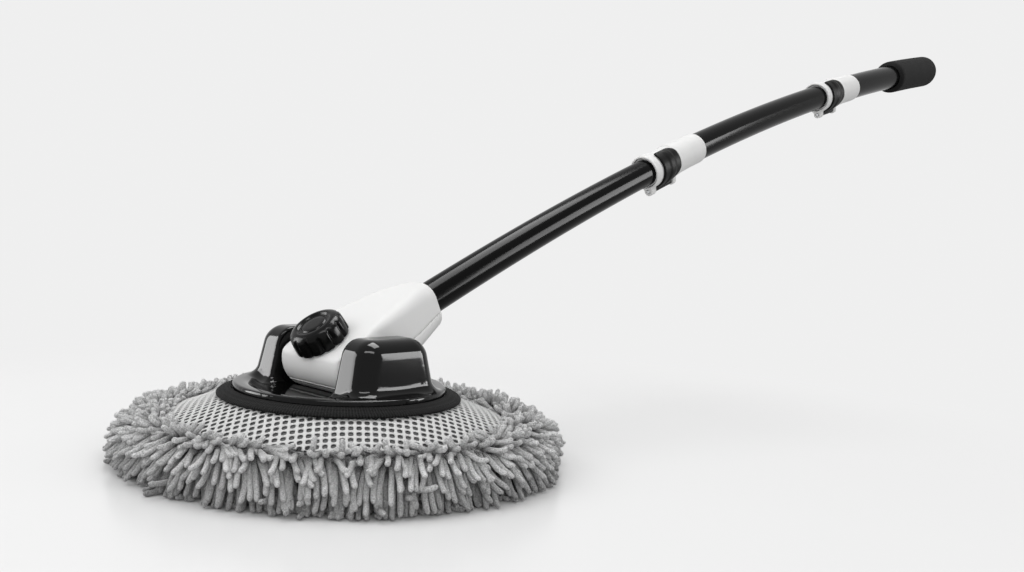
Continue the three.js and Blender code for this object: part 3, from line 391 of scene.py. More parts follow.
def pile_quarter(quarter, name):
    """A quarter of the ring: a backing roll that carries strands on its outer and its upper side."""
    arc_steps, lean_steps = 20, 24
    first_lean, last_lean, past_bottom = -78, 138, 216
    roll_height, full_width, front_thinning = 10.0, 12.6, 3.8
    front_side, long_side = math.radians(232), math.radians(310)
    points, flows, reaches, sewn = [], [], [], []
    for i in range(arc_steps + 1):
        angle = (quarter + i / arc_steps) * math.pi / 2
        outward = Vector((math.cos(angle), math.sin(angle) / head_oval, 0)).normalized()
        around = Vector((-outward.y, outward.x, 0))
        swirl = 0.4 * math.sin(2.0 * angle + 0.6) + 0.3 * math.sin(5.0 * angle + 2.0)
        front = (0.5 + 0.5 * math.cos(angle - front_side)) ** 3
        longer = 1 + 0.15 * front + 0.12 * math.cos(angle - long_side)
        upright = 0.75 + 0.35 * front
        roll_width = full_width - front_thinning * front
        ring_radius = inner_seam + roll_width
        middle = Vector((ring_radius * math.cos(angle), head_oval * ring_radius * math.sin(angle), ring_height))
        for j in range(lean_steps):
            lean = 2 * math.pi * j / lean_steps
            upward = -math.sin(lean) * outward + math.cos(lean) * Vector((0, 0, 1))
            degrees = math.degrees(lean)
            degrees -= 360 if degrees > past_bottom else 0
            combed = np.interp(degrees, (-80, 20, 70, 105, 140), (-0.5, -0.95, -0.6, -0.1, 0.25))
            rise = Vector((0, 0, roll_height * math.sin(lean)))
            points.append((middle + roll_width * math.cos(lean) * outward + rise) * mm)
            flows.append(upward * combed + around * swirl - Vector((0, 0, 0.8 * front)))
            reaches.append(longer * np.interp(degrees, (20, 60, 110), (1.0, 1.0, upright)))
    for i in range(arc_steps):
        for j in range(lean_steps):
            degrees = 360 * (j + 0.5) / lean_steps
            degrees -= 360 if degrees > past_bottom else 0
            sewn.append(first_lean < degrees < last_lean)
    sewn += [False, False]
    pile = outward_mesh(mesh_object("pile_" + name, points, capped_faces(arc_steps + 1, lean_steps), chenille))
    mark(pile, sewn, flows, reaches)
    grow(pile, strand_tree, seed=quarter + 3, material=chenille)
    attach(pile, "head")
    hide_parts("chenille_pile_" + name)


def outward_mesh(obj):
    """Turns a closed mesh's faces outwards, by the sign of the volume that they enclose."""
    mesh = obj.data
    mesh.calc_loop_triangles()
    points = np.array([v.co for v in mesh.vertices])
    corners = points[np.array([t.vertices for t in mesh.loop_triangles])]
    volume = np.einsum("ij,ij->i", corners[:, 0], np.cross(corners[:, 1], corners[:, 2])).sum()
    if volume < 0:
        mesh.flip_normals()
    return obj


for quarter, name in enumerate(quarter_names):
    pile_quarter(quarter, name)

# Chenille sole: the underside of the mop cover, a slab of backing with the same strands, flattened by the
# head's weight, so that they lie on the floor in all directions. It is sewn round its edge to the pile.


def oval_point(radius, angle, z):
    """A point round the head, stretched to its oval, from millimetres to metres."""
    return radius * math.cos(angle) * mm, head_oval * radius * math.sin(angle) * mm, z * mm


sole_sides = 72
sole_stations = [
    (12, 7.2), (40, 7.2), (70, 7.2), (95, 7.2), (108, 7.2), (110, 8.4), (110, 13), (109, 13.7), (12, 13.7)]
points = [oval_point(radius, 2 * math.pi * k / sole_sides, z)
          for radius, z in sole_stations for k in range(sole_sides)]
faces = capped_faces(len(sole_stations), sole_sides)
sole = outward_mesh(mesh_object("pile_sole", points, faces, chenille))
sole_flow = []
for x, y, _ in [v.co for v in sole.data.vertices]:
    ripple = Vector((math.sin(90 * y), math.cos(70 * x), 0))
    sole_flow.append(Vector((x, y, 0)).normalized() * 0.6 + 0.7 * ripple)
mark(sole, [f.normal.z < -0.7 for f in sole.data.polygons], sole_flow, [1.0] * len(sole_flow))
grow(sole, strand_tree, spacing=5.6 * mm, length=22 * mm, lift=0.3, lie=0.8, droop=0.1, tangle=0.6, seed=9,
     material=chenille)
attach(sole, "head")
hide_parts("chenille_sole")

# Sponge core and support plate: a grey foam pad that gives the mop its thickness, and a stiff black plate
# over it that the base is screwed to. The plate shows dark through the holes of the mesh.

grain_group = bpy.data.node_groups.new("fine grain", "ShaderNodeTree")
for label, value in (("Scale", 900.0), ("Roughness", 0.4), ("Spread", 0.08), ("Depth", 0.3)):
    socket = grain_group.interface.new_socket(label, in_out="INPUT", socket_type="NodeSocketFloat")
    socket.default_value = value
grain_group.interface.new_socket("Roughness", in_out="OUTPUT", socket_type="NodeSocketFloat")
grain_group.interface.new_socket("Normal", in_out="OUTPUT", socket_type="NodeSocketVector")
tree = grain_group
given = tree.nodes.new("NodeGroupInput").outputs
result = tree.nodes.new("NodeGroupOutput")
place = add_node(tree, "ShaderNodeTexCoord").outputs["Object"]
grain = add_node(tree, "ShaderNodeTexNoise", {
    "Vector": place, "Scale": given["Scale"], "Detail": 3.0}).outputs["Fac"]
handled = add_node(tree, "ShaderNodeTexNoise", {
    "Vector": place, "Scale": 34.0, "Detail": 4.0, "Roughness": 0.6}).outputs["Fac"]
uneven = field_math(tree, "MULTIPLY", field_math(tree, "SUBTRACT", handled, 0.5), given["Spread"])
tree.links.new(field_math(tree, "ADD", given["Roughness"], uneven), result.inputs["Roughness"])
bump = add_node(tree, "ShaderNodeBump", {"Height": grain, "Strength": given["Depth"], "Distance": 0.0002})
tree.links.new(bump.outputs[0], result.inputs["Normal"])


def moulded(name, grey, roughness, spread=0.08, depth=0.3, scale=900.0, **sockets):
    """A material with the fine grain group, in a grey or in a colour of its own."""
    colour = grey if isinstance(grey, tuple) else (grey, grey, grey)
    material, tree, shader = new_material(name, Base_Color=(*colour, 1), **sockets)
    grain = add_node(tree, "ShaderNodeGroup", {
        "Scale": scale, "Roughness": roughness, "Spread": spread, "Depth": depth}, node_tree=grain_group)
    tree.links.new(grain.outputs["Roughness"], shader.inputs["Roughness"])
    tree.links.new(grain.outputs["Normal"], shader.inputs["Normal"])
    return material


def refinish(material, *names):
    """Gives CAD nodes their finish."""
    for name in names:
        mesh = nodes[name].data
        mesh.materials.clear()
        mesh.materials.append(material)


sponge = moulded("sponge_foam", (0.2, 0.2, 0.19), 0.95, depth=1.0, scale=420.0, Specular_IOR_Level=0.05)
black_matt = moulded("matt_black_mould", 0.012, 0.6, depth=0.5, Specular_IOR_Level=0.15)
refinish(sponge, "sponge_core")
grey_mould = moulded("dark_grey_mould", 0.11, 0.7, depth=0.5, Specular_IOR_Level=0.1)
refinish(grey_mould, "support_plate")
refinish(black_matt, "saddle_cap_left", "saddle_cap_right", "brake_shoe", "lower_lock_pad",
         "upper_lock_pad", "grip_end_plug")

# Mesh top cover: a warp-knitted pale grey net with slot-shaped holes in staggered rows, stretched over the
# plate's cone. Its inner edge is bound by the elastic and its outer edge is sewn under the pile.

plate_top = 42.7
flat_radius = 66.5
cone_slope = 12.8 / 32.5


def cone_height(radius):
    return plate_top - cone_slope * max(0.0, radius - flat_radius)


tree, given, result = new_tree("knitted net", [
    ("Geometry", "Geometry", None),
    ("Hole Pitch", "Float", 4.65 * mm),
    ("Stretch", "Float", 1.22),
    ("Inner Radius", "Float", 70 * mm),
    ("Outer Radius", "Float", 103.4 * mm),
    ("Oval", "Float", head_oval),
    ("Flat Radius", "Float", flat_radius * mm),
    ("Slope", "Float", cone_slope),
    ("Height", "Float", (plate_top + 0.45) * mm),
    ("Thickness", "Float", 0.55 * mm),
    ("Material", "Material", None),
])
rows = 54
knit_turn = math.radians(54)
wide = field_math(tree, "MULTIPLY", given["Hole Pitch"], rows - 1.0)
spots = add_node(tree, "GeometryNodeMeshGrid", {
    "Size X": wide, "Size Y": wide, "Vertices X": rows, "Vertices Y": rows}).outputs["Mesh"]
knit = realized(tree, add_node(tree, "GeometryNodeInstanceOnPoints", {
    "Points": spots, "Instance": given["Geometry"],
    "Scale": xyz(tree, given["Hole Pitch"], given["Hole Pitch"], given["Thickness"])}))
knit = add_node(tree, "GeometryNodeMergeByDistance", {"Geometry": knit, "Distance": 0.05 * mm}).outputs[0]
for change in ({"Scale": xyz(tree, given["Stretch"], 1.0, 1.0)}, {"Rotation": (0, 0, knit_turn)}):
    knit = add_node(tree, "GeometryNodeTransform", {"Geometry": knit, **change}).outputs[0]
where = add_node(tree, "GeometryNodeInputPosition").outputs[0]
parts = add_node(tree, "ShaderNodeSeparateXYZ", {0: where}).outputs
squeezed = xyz(tree, parts["X"], field_math(tree, "DIVIDE", parts["Y"], given["Oval"]))
radius = add_node(tree, "ShaderNodeVectorMath", {0: squeezed}, operation="LENGTH").outputs["Value"]
outside = field_math(tree, "GREATER_THAN", radius, given["Outer Radius"])
inside = field_math(tree, "LESS_THAN", radius, given["Inner Radius"])
ring = add_node(tree, "GeometryNodeDeleteGeometry", {
    "Geometry": knit, "Selection": field_math(tree, "MAXIMUM", outside, inside)}, domain="FACE").outputs[0]
beyond = field_math(tree, "MAXIMUM", field_math(tree, "SUBTRACT", radius, given["Flat Radius"]), 0.0)
height = field_math(tree, "SUBTRACT", given["Height"], field_math(tree, "MULTIPLY", beyond, given["Slope"]))
height = field_math(tree, "ADD", height, parts["Z"])
laid = moved(tree, ring, Position=xyz(tree, parts["X"], parts["Y"], height))
raised = add_node(tree, "GeometryNodeExtrudeMesh", {
    "Mesh": laid, "Offset": (0, 0, 1), "Offset Scale": given["Thickness"], "Individual": False},
    mode="FACES").outputs["Mesh"]
under = add_node(tree, "GeometryNodeFlipFaces", {"Mesh": laid}).outputs[0]
closed = add_node(tree, "GeometryNodeMergeByDistance", {
    "Geometry": joined(tree, raised, under), "Distance": 0.00001}).outputs[0]
end_tree(tree, result, closed, given["Material"])

mesh_finish = moulded("mesh_knit", (0.61, 0.61, 0.605), 0.85, depth=1.0, scale=900.0, Sheen_Weight=0.1,
                      Specular_IOR_Level=0.05)
points, faces = [], []
hole_reach, hole_roundness = 0.54, 0.75
for share, rise in ((1.0, 0.0), (0.87, 0.2), (0.78, -0.3)):
    for k in range(8):
        angle = k * math.pi / 4
        square = 0.5 / max(abs(math.cos(angle)), abs(math.sin(angle)))
        rounded = (1 - hole_roundness) * square + hole_roundness * hole_reach
        reach = share * (square if share == 1.0 else rounded)
        points.append((reach * math.cos(angle), reach * math.sin(angle), rise))
for ring in (0, 8):
    faces += [(ring + k, ring + (k + 1) % 8, ring + 8 + (k + 1) % 8, ring + 8 + k) for k in range(8)]
net_cover = mesh_object("mesh_net", points, faces, mesh_finish)
grow(net_cover, tree, material=mesh_finish)
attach(net_cover, "head")
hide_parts("mesh_cover")

# Elastic binding: a black woven band folded over the cover's edge and stitched through, which grips the
# plate round the base. Its ribs run across the band, and two rows of stitches hold it.

binding_inner = 66.8
binding_outer = 76.2
binding_foot = 0.6 + 1.2
binding_half = 1.25
slope_stretch = 1.07


def binding_section(steps=14):
    """The band's cross-section, a flat loop with round edges: (radius, z) in millimetres."""
    middle, half_width = (binding_inner + binding_outer) / 2, (binding_outer - binding_inner) / 2
    section = []
    for k in range(2 * steps):
        angle = math.pi * k / steps
        c, s = math.cos(angle), math.sin(angle)
        radius = middle + half_width * math.copysign(abs(c) ** 0.55, c)
        lift = (binding_foot + binding_half) * slope_stretch
        section.append((radius, cone_height(radius) + lift + binding_half * math.copysign(abs(s) ** 0.7, s)))
    return section


section = binding_section()
around = 288
points = [oval_point(radius, 2 * math.pi * k / around, z) for k in range(around) for radius, z in section]
faces = grid_faces(around, len(section), close_rows=True, close_columns=True)
binding = mesh_object("binding_band", points, faces)
uv = binding.data.uv_layers.new(name="weave")
for polygon in binding.data.polygons:
    for loop in polygon.loop_indices:
        vertex = binding.data.loops[loop].vertex_index
        k, j = divmod(vertex, len(section))
        if k == 0 and polygon.index >= (around - 1) * len(section):
            k = around
        if j == 0 and polygon.index % len(section) == len(section) - 1:
            j = len(section)
        uv.data[loop].uv = (k / around, j / len(section))
outward_mesh(binding)
elastic, tree, shader = new_material("elastic_weave", Roughness=0.72, Specular_IOR_Level=0.06)
woven = add_node(tree, "ShaderNodeUVMap", uv_map="weave")
stretched = add_node(tree, "ShaderNodeMapping", {
    "Vector": woven.outputs[0], "Scale": (85.0, 5.0, 1.0)}).outputs[0]
ribs, picks = [add_node(tree, "ShaderNodeTexWave", {
    "Vector": stretched, "Scale": 1.0, "Distortion": distortion}, wave_type="BANDS", bands_direction=direction)
    for direction, distortion in (("X", 0.4), ("Y", 0.2))]
weave = field_math(tree, "MULTIPLY_ADD", picks.outputs["Fac"], 0.5, ribs.outputs["Fac"])
tone = map_range(tree, weave, 0.2, 1.3, 0.0005, 0.013)
grey = add_node(tree, "ShaderNodeCombineColor", {0: tone, 1: tone, 2: tone})
tree.links.new(grey.outputs[0], shader.inputs["Base Color"])
bump = add_node(tree, "ShaderNodeBump", {"Height": weave, "Strength": 0.8, "Distance": 0.0006})
tree.links.new(bump.outputs[0], shader.inputs["Normal"])
binding.data.materials.append(elastic)
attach(binding, "head")
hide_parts("elastic_binding")

tree, given, result = new_tree("stitches", [
    ("Geometry", "Geometry", None),
    ("Stitch Length", "Float", 2.6 * mm),
    ("Pitch", "Float", 3.6 * mm),
    ("Thread", "Float", 0.28 * mm),
    ("Material", "Material", None),
])
seam = add_node(tree, "GeometryNodeMeshToCurve", {"Mesh": given["Geometry"]}).outputs[0]
stops = add_node(tree, "GeometryNodeCurveToPoints", {"Curve": seam, "Length": given["Pitch"]},
                 mode="LENGTH").outputs
bar = add_node(tree, "GeometryNodeMeshCylinder", {
    "Vertices": 6, "Side Segments": 3, "Radius": given["Thread"], "Depth": given["Stitch Length"]},
    fill_type="TRIANGLE_FAN").outputs["Mesh"]
where = add_node(tree, "GeometryNodeInputPosition").outputs[0]
parts = add_node(tree, "ShaderNodeSeparateXYZ", {0: where}).outputs
reach = field_math(tree, "DIVIDE", parts["Z"], given["Stitch Length"])
deepest = field_math(tree, "MULTIPLY", given["Thread"], -5.0)
sink = field_math(tree, "MULTIPLY", field_math(tree, "MULTIPLY", reach, reach), deepest)
bowed = moved(tree, bar, Offset=xyz(tree, sink))
facing = add_node(tree, "FunctionNodeAlignRotationToVector", {"Vector": stops["Tangent"]}, axis="Z")
facing = add_node(tree, "FunctionNodeAlignRotationToVector", {
    "Rotation": facing.outputs[0], "Vector": (0.0, 0.0, 1.0)}, axis="X", pivot_axis="Z")
sewn = realized(tree, add_node(tree, "GeometryNodeInstanceOnPoints", {
    "Points": stops["Points"], "Instance": bowed, "Rotation": facing.outputs[0]}))
end_tree(tree, result, sewn, given["Material"])

thread = moulded("thread", 0.008, 0.7, depth=0.8, scale=2200.0, Specular_IOR_Level=0.08)
seam_radii = (69.2, 74.0)
seam_sides = 160
seam_points, seam_edges = [], []
for radius in seam_radii:
    start = len(seam_points)
    lift = cone_height(radius) + (binding_foot + binding_half) * slope_stretch + 1.2
    for k in range(seam_sides):
        seam_points.append(oval_point(radius, 2 * math.pi * k / seam_sides, lift))
        seam_edges.append((start + k, start + (k + 1) % seam_sides))
stitches = mesh_object("binding_stitches", [], [], thread)
stitches.data.from_pydata(seam_points, seam_edges, [])
grow(stitches, tree, material=thread)
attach(stitches, "head")

# Swivel base: one glossy black moulding, an oval dished flange with two ears that carry the hinge axle. Its
# corners and feet are generously rounded, as a mould needs, and the barrel of the neck turns in its well.


def soft_min(a, b, radius):
    blend = np.clip(0.5 + 0.5 * (b - a) / radius, 0, 1)
    return b * (1 - blend) + a * blend - radius * blend * (1 - blend)


def soft_max(a, b, radius):
    return -soft_min(-a, -b, radius)


def round_max(a, b, radius):
    """The common part of two solids, with the edge between them rounded to a true radius."""
    return np.minimum(np.maximum(a, b), -radius) + np.hypot(np.maximum(a + radius, 0),
                                                            np.maximum(b + radius, 0))


def round_min(a, b, radius):
    """Two solids as one, with a fillet of that radius in the corner between them."""
    return np.maximum(np.minimum(a, b), radius) - np.hypot(np.maximum(radius - a, 0), np.maximum(radius - b, 0))


def round_box(a, b, half_a, half_b, corner):
    """Distance to a rectangle with round corners, in the plane of a and b."""
    qa, qb = np.abs(a) - half_a + corner, np.abs(b) - half_b + corner
    return np.hypot(np.maximum(qa, 0), np.maximum(qb, 0)) + np.minimum(np.maximum(qa, qb), 0) - corner


def moulding(name, distance, low, high, step, material, place=None):
    """Skins the surface where a distance, in millimetres, is zero: one vertex in each cell that it crosses,
    then moved onto it along its slope. place turns points of the piece's own axes into the head's."""
    axes = [np.arange(a, b + step, step) for a, b in zip(low, high)]
    x, y, z = np.meshgrid(*axes, indexing="ij")
    filled = distance(x, y, z) < 0
    count = np.zeros([n - 1 for n in filled.shape], int)
    for i in (0, 1):
        for j in (0, 1):
            for k in (0, 1):
                count += filled[i:i + count.shape[0], j:j + count.shape[1], k:k + count.shape[2]]
    active = (count > 0) & (count < 8)
    index = np.full(active.shape, -1)
    index[active] = np.arange(active.sum())
    cells = np.argwhere(active)
    start = np.array([axes[n][0] for n in range(3)]) + (cells + 0.5) * step
    points = start.copy()
    tiny = step * 0.02
    for _ in range(6):
        value = distance(*points.T)
        slope = np.stack([(distance(*(points + tiny * e).T) - distance(*(points - tiny * e).T)) / (2 * tiny)
                          for e in np.eye(3)], 1)
        points = points - slope * (value / np.maximum((slope ** 2).sum(1), 0.05))[:, None]
        points = start + np.clip(points - start, -0.8 * step, 0.8 * step)
    faces = []
    for axis in range(3):
        b, c = (axis + 1) % 3, (axis + 2) % 3
        a0 = np.take(filled, range(filled.shape[axis] - 1), axis)
        a1 = np.take(filled, range(1, filled.shape[axis]), axis)
        for inside, order in ((a0 & ~a1, 1), (a1 & ~a0, -1)):
            at = np.argwhere(inside)
            at = at[(at[:, b] > 0) & (at[:, c] > 0)]
            ring = []
            for db, dc in ((-1, -1), (0, -1), (0, 0), (-1, 0))[::order]:
                cell = at.copy()
                cell[:, b] += db
                cell[:, c] += dc
                ring.append(index[tuple(np.minimum(cell, np.array(index.shape) - 1).T)])
            faces.append(np.stack(ring, 1))
    faces = np.concatenate(faces)
    points = points if place is None else place(points)
    return mesh_object(name, points * mm, faces[(faces >= 0).all(1)], material)


hinge_x, hinge_z = -5.0, 65.0
base_foot, base_radius = 43, 66.3
flange_middle, flange_half = 46.7, 3.7
dish_floor, dish_rise, dish_start, dish_width = 46.5, 3.9, 49, 12.5
ear_inner, ear_outer, ear_top = 34.5, 63.2, 83.6
ear_middle, ear_half, ear_lean = 1.5, 33.4, 0.2
well_radius = 22.8
skin_step = 1.15


def base_distance(x, y, z):
    oval = np.hypot(x, y / head_oval)
    dish = np.clip((oval - dish_start) / dish_width, 0, 1)
    dish = dish_floor + dish_rise * dish * dish * (3 - 2 * dish)
    flange = round_box(oval, z - flange_middle, base_radius, flange_half, 1.7)
    flange = soft_max(flange, (z - dish) * 0.93, 1.6)
    reach = np.abs(y)
    lean = ear_lean * (z - base_foot)
    ends = np.abs(x - ear_middle) - (ear_half - lean)
    ear = round_max(ends, reach - (ear_outer - 0.5 * lean), 12)
    ear = round_max(ear, z - ear_top, 10.5)
    ear = round_max(ear, ear_inner - reach, 2.5)
    ear = np.maximum(ear, base_foot + 1 - z)
    shape = round_min(flange, ear, 6.5)
    well = soft_max(np.hypot(x - hinge_x, z - hinge_z) - well_radius, reach - ear_inner, 1)
    shape = soft_max(shape, -well, 1)
    return soft_max(shape, base_foot - z, 0.8)


black_gloss = moulded("gloss_black_mould", 0.003, 0.08, spread=0.05, depth=0.0, scale=400.0,
                      Specular_IOR_Level=0.16)
base = moulding("base_moulding", base_distance, (-70, -78, 40), (70, 78, 87), skin_step, black_gloss)
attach(base, "head")
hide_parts("swivel_base")

# Hinge axle, screws, lock pins and retaining clip: zinc plated steel, turned and rolled, and mostly out of
# sight. They are the CAD solids themselves, with a bright metal finish.

steel = moulded("zinc_steel", (0.55, 0.56, 0.57), 0.32, depth=0.35, scale=1500.0, Metallic=1.0)
refinish(steel, "hinge_axle", "tube_anchor_screw", "clamp_screw", "retaining_clip", "lower_lock_pin",
         "upper_lock_pin", *[n for n in nodes if n.startswith(("base_screw", "saddle_screw", "neck_screw"))])

# Neck: two white mouldings that meet on a parting line on the side. The barrel turns between the ears, the
# body narrows to a mouth that is deeper below the tube than above it, and a sloping seat carries the knob.

elevation = math.radians(25.7)
neck_length = 85.0
seat_lean = math.radians(10)
seat_height = 15.2
parting = -6.6
barrel_radius, barrel_half = 21, 33
socket_radius, socket_end = 12.3, 33
shoe_half, shoe_room = 7.3, 12.2
screw_hole_radius, axle_hole_radius = 2.9, 5.3


def from_neck(points):
    """Neck axes, x from the hinge to the mouth and z across it, to the head's axes, in millimetres."""
    c, s = math.cos(elevation), math.sin(elevation)
    x, y, z = points.T
    return np.stack([hinge_x + x * c - z * s, y, hinge_z + x * s + z * c], 1)


along_neck = np.linspace(-10, 100, 221)


def eased(places, sizes):
    """A size along the neck, from a few stations, with the corners between them smoothed."""
    wide = np.linspace(-22, 112, 269)
    window = np.hanning(25)
    return np.convolve(np.interp(wide, places, sizes), window / window.sum(), "valid")[:len(along_neck)]


stations = (2, 22, 38, 52, 64, 75, 84)
neck_half = eased(stations, (32.6, 31, 27.5, 23.8, 19.5, 16.1, 14.0))
neck_top = eased(stations, (19.2, 19.2, 19.2, 19.1, 18.4, 16.4, 14.4))
neck_bottom = eased(stations, (18.4, 18.4, 18.4, 18.4, 18.4, 18.3, 17.8))
neck_corner = eased(stations, (5, 6, 7.5, 8.5, 9.5, 11, 12))


def neck_distance(x, y, z):
    half = np.interp(x, along_neck, neck_half)
    top = np.interp(x, along_neck, neck_top)
    bottom = np.interp(x, along_neck, neck_bottom)
    corner = np.interp(x, along_neck, neck_corner)
    body = round_box(y, z - (top - bottom) / 2, half, (top + bottom) / 2, corner)
    body = soft_max(body, np.maximum(x - neck_length, -x), 3.2)
    barrel = round_box(np.hypot(x, z), y, barrel_radius, barrel_half, 5)
    neck = soft_min(body, barrel, 3)
    along_knob = -x * math.sin(seat_lean) + z * math.cos(seat_lean)
    across = x * math.cos(seat_lean) + z * math.sin(seat_lean)
    neck = soft_max(neck, along_knob - seat_height, 1.2)
    socket = np.maximum(np.hypot(y, z) - socket_radius, socket_end - x)
    neck = soft_max(neck, -socket, 1.2)
    pocket = np.maximum(np.maximum(np.abs(across), np.abs(y)) - shoe_half,
                        np.maximum(-along_knob, along_knob - shoe_room))
    screw_hole = np.maximum(np.hypot(across, y) - screw_hole_radius, -along_knob)
    axle_hole = np.hypot(x, z) - axle_hole_radius
    return np.maximum(np.maximum(neck, -np.minimum(pocket, screw_hole)), -axle_hole)


white = moulded("white_satin", (0.79, 0.79, 0.785), 0.5, spread=0.1, depth=0.12, scale=700.0,
                Specular_IOR_Level=0.03)
for name, node, sign in (("neck_top_shell", "neck_upper_shell", 1),
                         ("neck_under_shell", "neck_lower_shell", -1)):
    shell = moulding(name, lambda x, y, z: soft_max(neck_distance(x, y, z), 0.18 - sign * (z - parting), 0.7),
                     (-24, -36, -22), (88, 36, 23), skin_step, white, from_neck)
    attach(shell, "neck")
    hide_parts(node)
refinish(white, "thrust_washer_left", "thrust_washer_right", "lower_guide_bush", "middle_guide_bush",
         "lower_lock_liner", "upper_lock_liner")

# Clamp knob: a glossy black fluted knob with a dished top and a raised disc in it. It is moulded round the
# head of the clamp screw and presses the brake shoe on the hinge axle.

knob_foot = seat_height + 0.4
knob_top = knob_foot + 15
flutes = 13
per_flute = 14


def from_clamp(points):
    c, s = math.cos(seat_lean), math.sin(seat_lean)
    x, y, z = points.T
    return from_neck(np.stack([x * c - z * s, y, x * s + z * c], 1))


knob_profile = [
    (knob_foot, 12.0, 0), (knob_foot, 17.2, 0.6), (knob_foot + 0.5, 18.2, 1.0), (knob_foot + 1.2, 18.6, 1.0),
    (knob_foot + 5, 18.5, 1.0), (knob_foot + 8.4, 18.3, 1.0), (knob_top - 4.6, 18.1, 0.95),
    (knob_top - 3.6, 17.9, 0.7), (knob_top - 2.7, 17.4, 0.35), (knob_top - 1.8, 16.6, 0.12),
    (knob_top - 1.0, 15.5, 0), (knob_top - 0.4, 14.2, 0), (knob_top - 0.05, 12.9, 0),
    (knob_top - 0.1, 12.0, 0), (knob_top - 0.5, 11.2, 0), (knob_top - 1.2, 10.6, 0),
    (knob_top - 1.5, 9.9, 0), (knob_top - 1.5, 8.9, 0), (knob_top - 1.3, 8.4, 0), (knob_top - 0.9, 8.1, 0),
    (knob_top - 0.7, 7.6, 0), (knob_top - 0.65, 5.0, 0), (knob_top - 0.62, 2.0, 0),
]
flute_depth = 1.7
points = []
for z, radius, share in knob_profile:
    for k in range(flutes * per_flute):
        angle = 2 * math.pi * k / (flutes * per_flute)
        phase = (k % per_flute) / per_flute
        groove = max(0.0, 1 - abs(phase - 0.5) / 0.24)
        groove = groove * groove * (3 - 2 * groove)
        r = radius - flute_depth * share * groove
        points.append((r * math.cos(angle), r * math.sin(angle), z))
faces = capped_faces(len(knob_profile), flutes * per_flute)
knob_mould = moulded("knob_black_mould", 0.004, 0.2, depth=0.0, Specular_IOR_Level=0.11)
knob = outward_mesh(mesh_object("knob_fluted", from_clamp(np.array(points)) * mm, faces, knob_mould))
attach(knob, "knob")
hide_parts("clamp_knob")

# Telescopic pole: three drawn aluminium tubes, lacquered glossy black and bent to one radius, so that each
# slides along the bend of the next. The lower one is screwed in the neck's socket.

bend_radius = 3800.0
lower_lock, upper_lock, grip_start = 275.0, 610.0, 810.0


def from_pole(points):
    """Pole axes, x along the bent centre line from the neck's mouth, to the head's axes."""
    x, y, z = points.T
    angle, reach = x / bend_radius, bend_radius + z
    return from_neck(np.stack([neck_length + reach * np.sin(angle), y, reach * np.cos(angle) - bend_radius], 1))


def turned_on_pole(name, profile, sides, material, longest=2.0):
    """A closed loop of (along, radius) stations, turned about the pole's bent line."""
    loop = []
    for (s0, r0), (s1, r1) in zip(profile, profile[1:] + profile[:1]):
        pieces = max(1, math.ceil(abs(s1 - s0) / longest))
        loop += [(s0 + (s1 - s0) * k / pieces, r0 + (r1 - r0) * k / pieces) for k in range(pieces)]
    turns = [2 * math.pi * k / sides for k in range(sides)]
    points = np.array([(s, r * math.sin(turn), r * math.cos(turn)) for s, r in loop for turn in turns])
    faces = grid_faces(len(loop), sides, close_rows=True, close_columns=True)
    return outward_mesh(mesh_object(name, from_pole(points) * mm, faces, material))


lacquer = moulded("black_lacquer", 0.003, 0.15, spread=0.02, depth=0.0, scale=300.0, Specular_IOR_Level=0.055)
tube_wall, tube_edge = 0.8, 0.25
for name, node, body, radius, first, last in (
        ("lower_tube", "tube_lower", "neck", 12.0, -52, 335),
        ("middle_tube", "tube_middle", "middle_stage", 13.1, 315.7, 670),
        ("upper_tube", "tube_upper", "upper_stage", 14.2, 650.7, 916.8)):
    bore, shoulder = radius - tube_wall, radius - tube_edge
    profile = [(first, bore), (first, shoulder), (first + tube_edge, radius), (last - tube_edge, radius),
               (last, shoulder), (last, bore)]
    tube = turned_on_pole(name, profile, 96, lacquer)
    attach(tube, body)
    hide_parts(node)

# Flip locks: a white collar fixed to the outer tube, whose slit jaws close on the inner tube, and a black
# C-shaped lever on a pin below. The lever's round hub pushes the pad when it is folded against the collar.

lock_length, jaw_length = 83.0, 40.4
lever_start, lever_width = 9.2, 27.0
lever_middle = lever_start + lever_width / 2
lever_end = lever_start + lever_width
lever_gap = 0.3
rib_end = lever_end + lever_gap + 3.6
pin_hole_radius, boss_radius = 1.9, 4.2
slit_half, slit_turn = 1.0, math.radians(-145)
lever_thickness, lever_sweep = 2.2, math.radians(156)
collar_step, lever_step = 0.62, 0.5
black_satin = moulded("satin_black_mould", 0.008, 0.42, depth=0.2, scale=900.0, Specular_IOR_Level=0.05)


